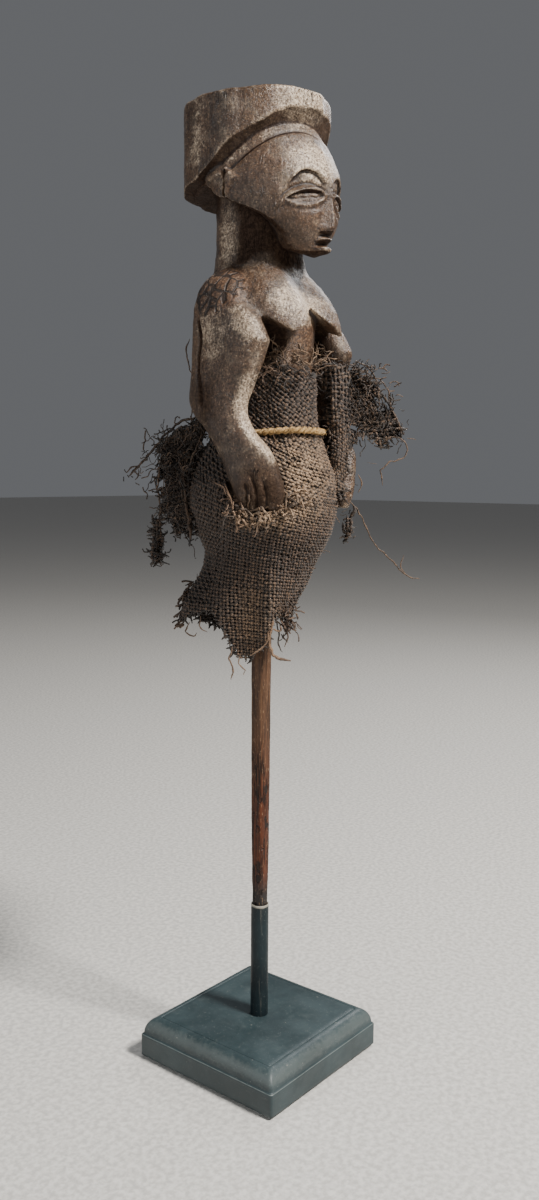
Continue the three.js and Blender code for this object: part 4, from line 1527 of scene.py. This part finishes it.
def plinth_paint():
    top, low = PLINTH_HIGH[2] * MM, PLINTH_LOW[2] * MM
    # The first band is a painted highlight along the quarter-round, the second a thin pale line at the step
    # below it, the third pale wear along the bottom edge.
    bands = [(top - 0.0104, top + 0.0024, 0.26), (top - 0.0101, top - 0.0095, 0.7),
             (low - 0.0006, low + 0.001, 0.4)]
    return satin_paint("plinth_paint", "253235", "334144", "777c78", bands, (60, 60, 300))


def tube_paint():
    top = TUBE_HIGH[2] * MM
    bands = [(top - 0.0026, top + 0.0022, 0.8)]
    return satin_paint("tube_paint", "121c20", "1b282c", "a8a294", bands, (500, 500, 40), 0.25)


def stem_wood():
    """Whittled stick: tan and flecked above, reddish brown and wormed below, grey at the tube."""
    s = Shader("stem_wood")
    z = height_of(s)
    grain = s.noise(1.0, 5, 0.65, s.stretched(700, 700, 36), 0.4)
    patch = s.noise(1.0, 4, 0.6, s.stretched(130, 130, 60))
    upper = s.shade(grain, 0.35, 0.65, "38251a", "5f432e")
    lower = s.shade(grain, 0.35, 0.65, "2e150b", "5c2f19")
    body = s.mix(s.ramp(s.add(z, s.times(patch, 0.05)), 0.17, 0.235), lower, upper)
    body = s.shade(z, 0.118, 0.096, body, "262322")
    body = s.mix(s.ramp(patch, 0.55, 0.8, 0.0, 0.7), body, "35241a")
    flecks = s.ramp(s.noise(1.0, 3, 0.7, s.stretched(1300, 1300, 300)), 0.58, 0.66)
    body = s.mix(s.times(flecks, 0.55), body, "967a5e")
    worm = s.ramp(s.cells(210, "F1", s.stretched(1.0, 1.0, 0.6)), 0.28, 0.38, 1.0, 0.0)
    worm = s.times(worm, s.ramp(s.noise(75, 2), 0.44, 0.50))
    low = s.ramp(z, 0.205, 0.165)
    split = s.math("ABSOLUTE", s.less(s.noise(1.0, 3, 0.55, s.stretched(190, 190, 14)), 0.5))
    split = s.ramp(split, 0.006, 0.022, 1.0, 0.0)
    dark = s.math("MAXIMUM", s.times(worm, low), s.times(split, s.ramp(low, 0.0, 1.0, 0.35, 1.0)))
    body = s.mix(s.times(dark, 0.9), body, "150d09")
    height = s.less(s.times(grain, 0.6), s.times(dark, 1.5))
    return s.finish(body, s.ramp(patch, 0.3, 0.7, 0.45, 0.65), s.bump(height, 0.0006, 0.9), specular=0.3)


def burlap_thread():
    """Jute thread: a painted highlight in dull tan where it rises to the face of the cloth, painted shade in
    dark brown where it dips.
    """
    s = Shader("burlap_thread")
    tone, warm, darkness = s.attribute("tone"), s.attribute("warm"), s.attribute("darkness")
    crest = s.attribute("crest")
    fibre = s.noise(2400, 3, 0.7)
    patch = s.noise(140, 4, 0.6)
    uneven = s.times(s.less(s.noise(520, 3, 0.7), 0.5), 1.1)
    # The crest attribute paints the thread tops light and the dips dark.
    face = s.add(s.add(crest, uneven), s.times(tone, 0.2))
    body = s.shade(patch, 0.38, 0.62, "130c08", "241811")
    top = s.shade(fibre, 0.35, 0.7, "442f22", "9c7959")
    body = s.shade(face, 0.76, 1.26, body, top)
    gold = s.shade(fibre, 0.35, 0.65, "85664a", "c8aa88")
    gold = s.shade(face, 0.4, 1.05, "2a1d14", gold)
    body = s.mix(s.times(warm, s.ramp(s.noise(300, 3, 0.6), 0.3, 0.6, 0.35, 0.95)), body, gold)
    # Darker threads where the cloth is marked darker, kept a little lighter on the crests.
    dark_share = s.ramp(s.add(fibre, s.times(crest, 0.25)), 0.55, 0.85)
    darkened = s.mix(dark_share, "0e0a08", "463325")
    body = s.mix(s.times(darkness, s.ramp(patch, 0.35, 0.6, 0.55, 0.92)), body, darkened)
    s.surface.inputs["Sheen Weight"].default_value = 0.1
    return s.finish(body, 0.62, s.bump(fibre, 0.0004, 0.9))


def burlap_shade_sheet():
    """Dark sheet of painted shade that shows between the threads."""
    s = Shader("burlap_shade_sheet")
    fibre = s.noise(1500, 3, 0.7)
    body = s.shade(fibre, 0.35, 0.7, "15100c", "3a2c21")
    return s.finish(body, 0.9, s.bump(fibre, 0.0005, 0.8))


def twine_fibre():
    """Golden twine with darker specks."""
    s = Shader("twine_fibre")
    tone = s.attribute("tone")
    fibre = s.noise(2200, 3, 0.7)
    patch = s.noise(220, 3, 0.6)
    body = s.shade(patch, 0.4, 0.65, "7f6136", "a98550")
    body = s.shade(fibre, 0.45, 0.7, body, "cfae78")
    body = s.mix(s.ramp(s.add(fibre, s.times(tone, 0.1)), 0.38, 0.30), body, "5d4528")
    return s.finish(body, 0.62, s.bump(fibre, 0.0004, 0.9))


def felt():
    s = Shader("felt")
    fluff = s.noise(1800, 4, 0.8)
    tone = s.shade(fluff, 0.3, 0.7, "1c1d1e", "3b3c3d")
    return s.finish(tone, 0.95, s.bump(fluff, 0.0005, 0.9))


def plug_wood():
    s = Shader("plug_wood")
    lines = s.noise(1.0, 5, 0.6, s.stretched(600, 600, 40), 0.5)
    tone = s.shade(lines, 0.35, 0.65, "8a6a48", "b8966c")
    return s.finish(tone, 0.65, s.bump(lines, 0.0004, 0.6))


def zinc_steel():
    s = Shader("zinc_steel")
    scratch = s.noise(1.0, 4, 0.6, s.stretched(900, 900, 200))
    tone = s.shade(scratch, 0.35, 0.65, "8d8f92", "b4b6b8")
    return s.finish(tone, s.ramp(scratch, 0.3, 0.7, 0.28, 0.45), metallic=1.0)


def finish_cad_parts():
    """Materials for the small CAD parts that are shown as they are."""
    for node, material in (("felt_pad", felt()), ("tube_plug", plug_wood()), ("mount_screw", zinc_steel())):
        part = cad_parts[node]
        part.data.materials.clear()
        part.data.materials.append(material)


# ---------------------------------------------------------------- stage

def soft_light(name, place, aim, size, watts, colour=(1, 1, 1)):
    data = bpy.data.lights.new(name, "AREA")
    data.shape = "RECTANGLE"
    data.size, data.size_y = size
    data.energy = watts
    data.color = colour
    obj = bpy.data.objects.new(name, data)
    obj.location = place
    obj.rotation_euler = (Vector(aim) - Vector(place)).to_track_quat("-Z", "Y").to_euler()
    bpy.context.collection.objects.link(obj)


def build_stage():
    """Wide pale floor, dim even world light, a key from the front and two weak lights from the sides."""
    half = 12.0
    corners = np.array([(-half, -half, 0), (half, -half, 0), (half, half, 0), (-half, half, 0)]) / MM
    floor = mesh_object("floor", corners, np.array([(0, 1, 2, 3)]), plain("floor", "d8d5cf", 0.8),
                        smooth=False)
    world = bpy.data.worlds.new("studio")
    world.use_nodes = True
    background = world.node_tree.nodes["Background"]
    background.inputs["Color"].default_value = (0.66, 0.68, 0.72, 1)
    background.inputs["Strength"].default_value = 0.2
    bpy.context.scene.world = world
    middle = (0, 0, 0.38)
    soft_light("key", (0.12, -1.2, 1.6), middle, (0.34, 0.3), 74, (1.0, 0.97, 0.93))
    soft_light("side", (-1.4, 0.35, 0.75), middle, (0.5, 0.8), 7, (0.92, 0.96, 1.0))
    soft_light("rim", (1.3, 0.25, 1.2), middle, (0.5, 0.5), 7)


# Camera: it looks a little down from level with the waist, with the figure turned to its right.
CAMERA_AZIMUTH = math.radians(-50.5)
CAMERA_DISTANCE = 0.598
CAMERA_HEIGHT = 0.3444
CAMERA_PITCH = math.radians(6.77)
CAMERA_YAW = math.radians(0.43)
CAMERA_ROLL = math.radians(0.4)
CAMERA_LENS = 31.6
SENSOR_HEIGHT = 36.0


def build_camera():
    data = bpy.data.cameras.new("camera")
    data.sensor_fit = "VERTICAL"
    data.sensor_height = SENSOR_HEIGHT
    data.lens = CAMERA_LENS
    data.clip_start = 0.01
    camera = bpy.data.objects.new("camera", data)
    bpy.context.collection.objects.link(camera)
    stand = Vector((math.sin(CAMERA_AZIMUTH), -math.cos(CAMERA_AZIMUTH), 0)) * CAMERA_DISTANCE
    camera.location = stand + Vector((0, 0, CAMERA_HEIGHT))
    heading = Matrix.Rotation(CAMERA_AZIMUTH - CAMERA_YAW, 3, "Z")
    tilt = Matrix.Rotation(math.pi / 2 - CAMERA_PITCH, 3, "X")
    roll = Matrix.Rotation(CAMERA_ROLL, 3, "Z")
    camera.rotation_euler = (heading @ tilt @ roll).to_euler()
    bpy.context.scene.camera = camera


build_camera()
build_stage()
build_figure()
thread_finish, shade_sheet_finish = burlap_thread(), burlap_shade_sheet()
build_wrap(thread_finish, shade_sheet_finish)
build_rags(thread_finish, shade_sheet_finish)
build_twine(twine_fibre())
build_plinth()
build_tube()
build_stem()
finish_cad_parts()
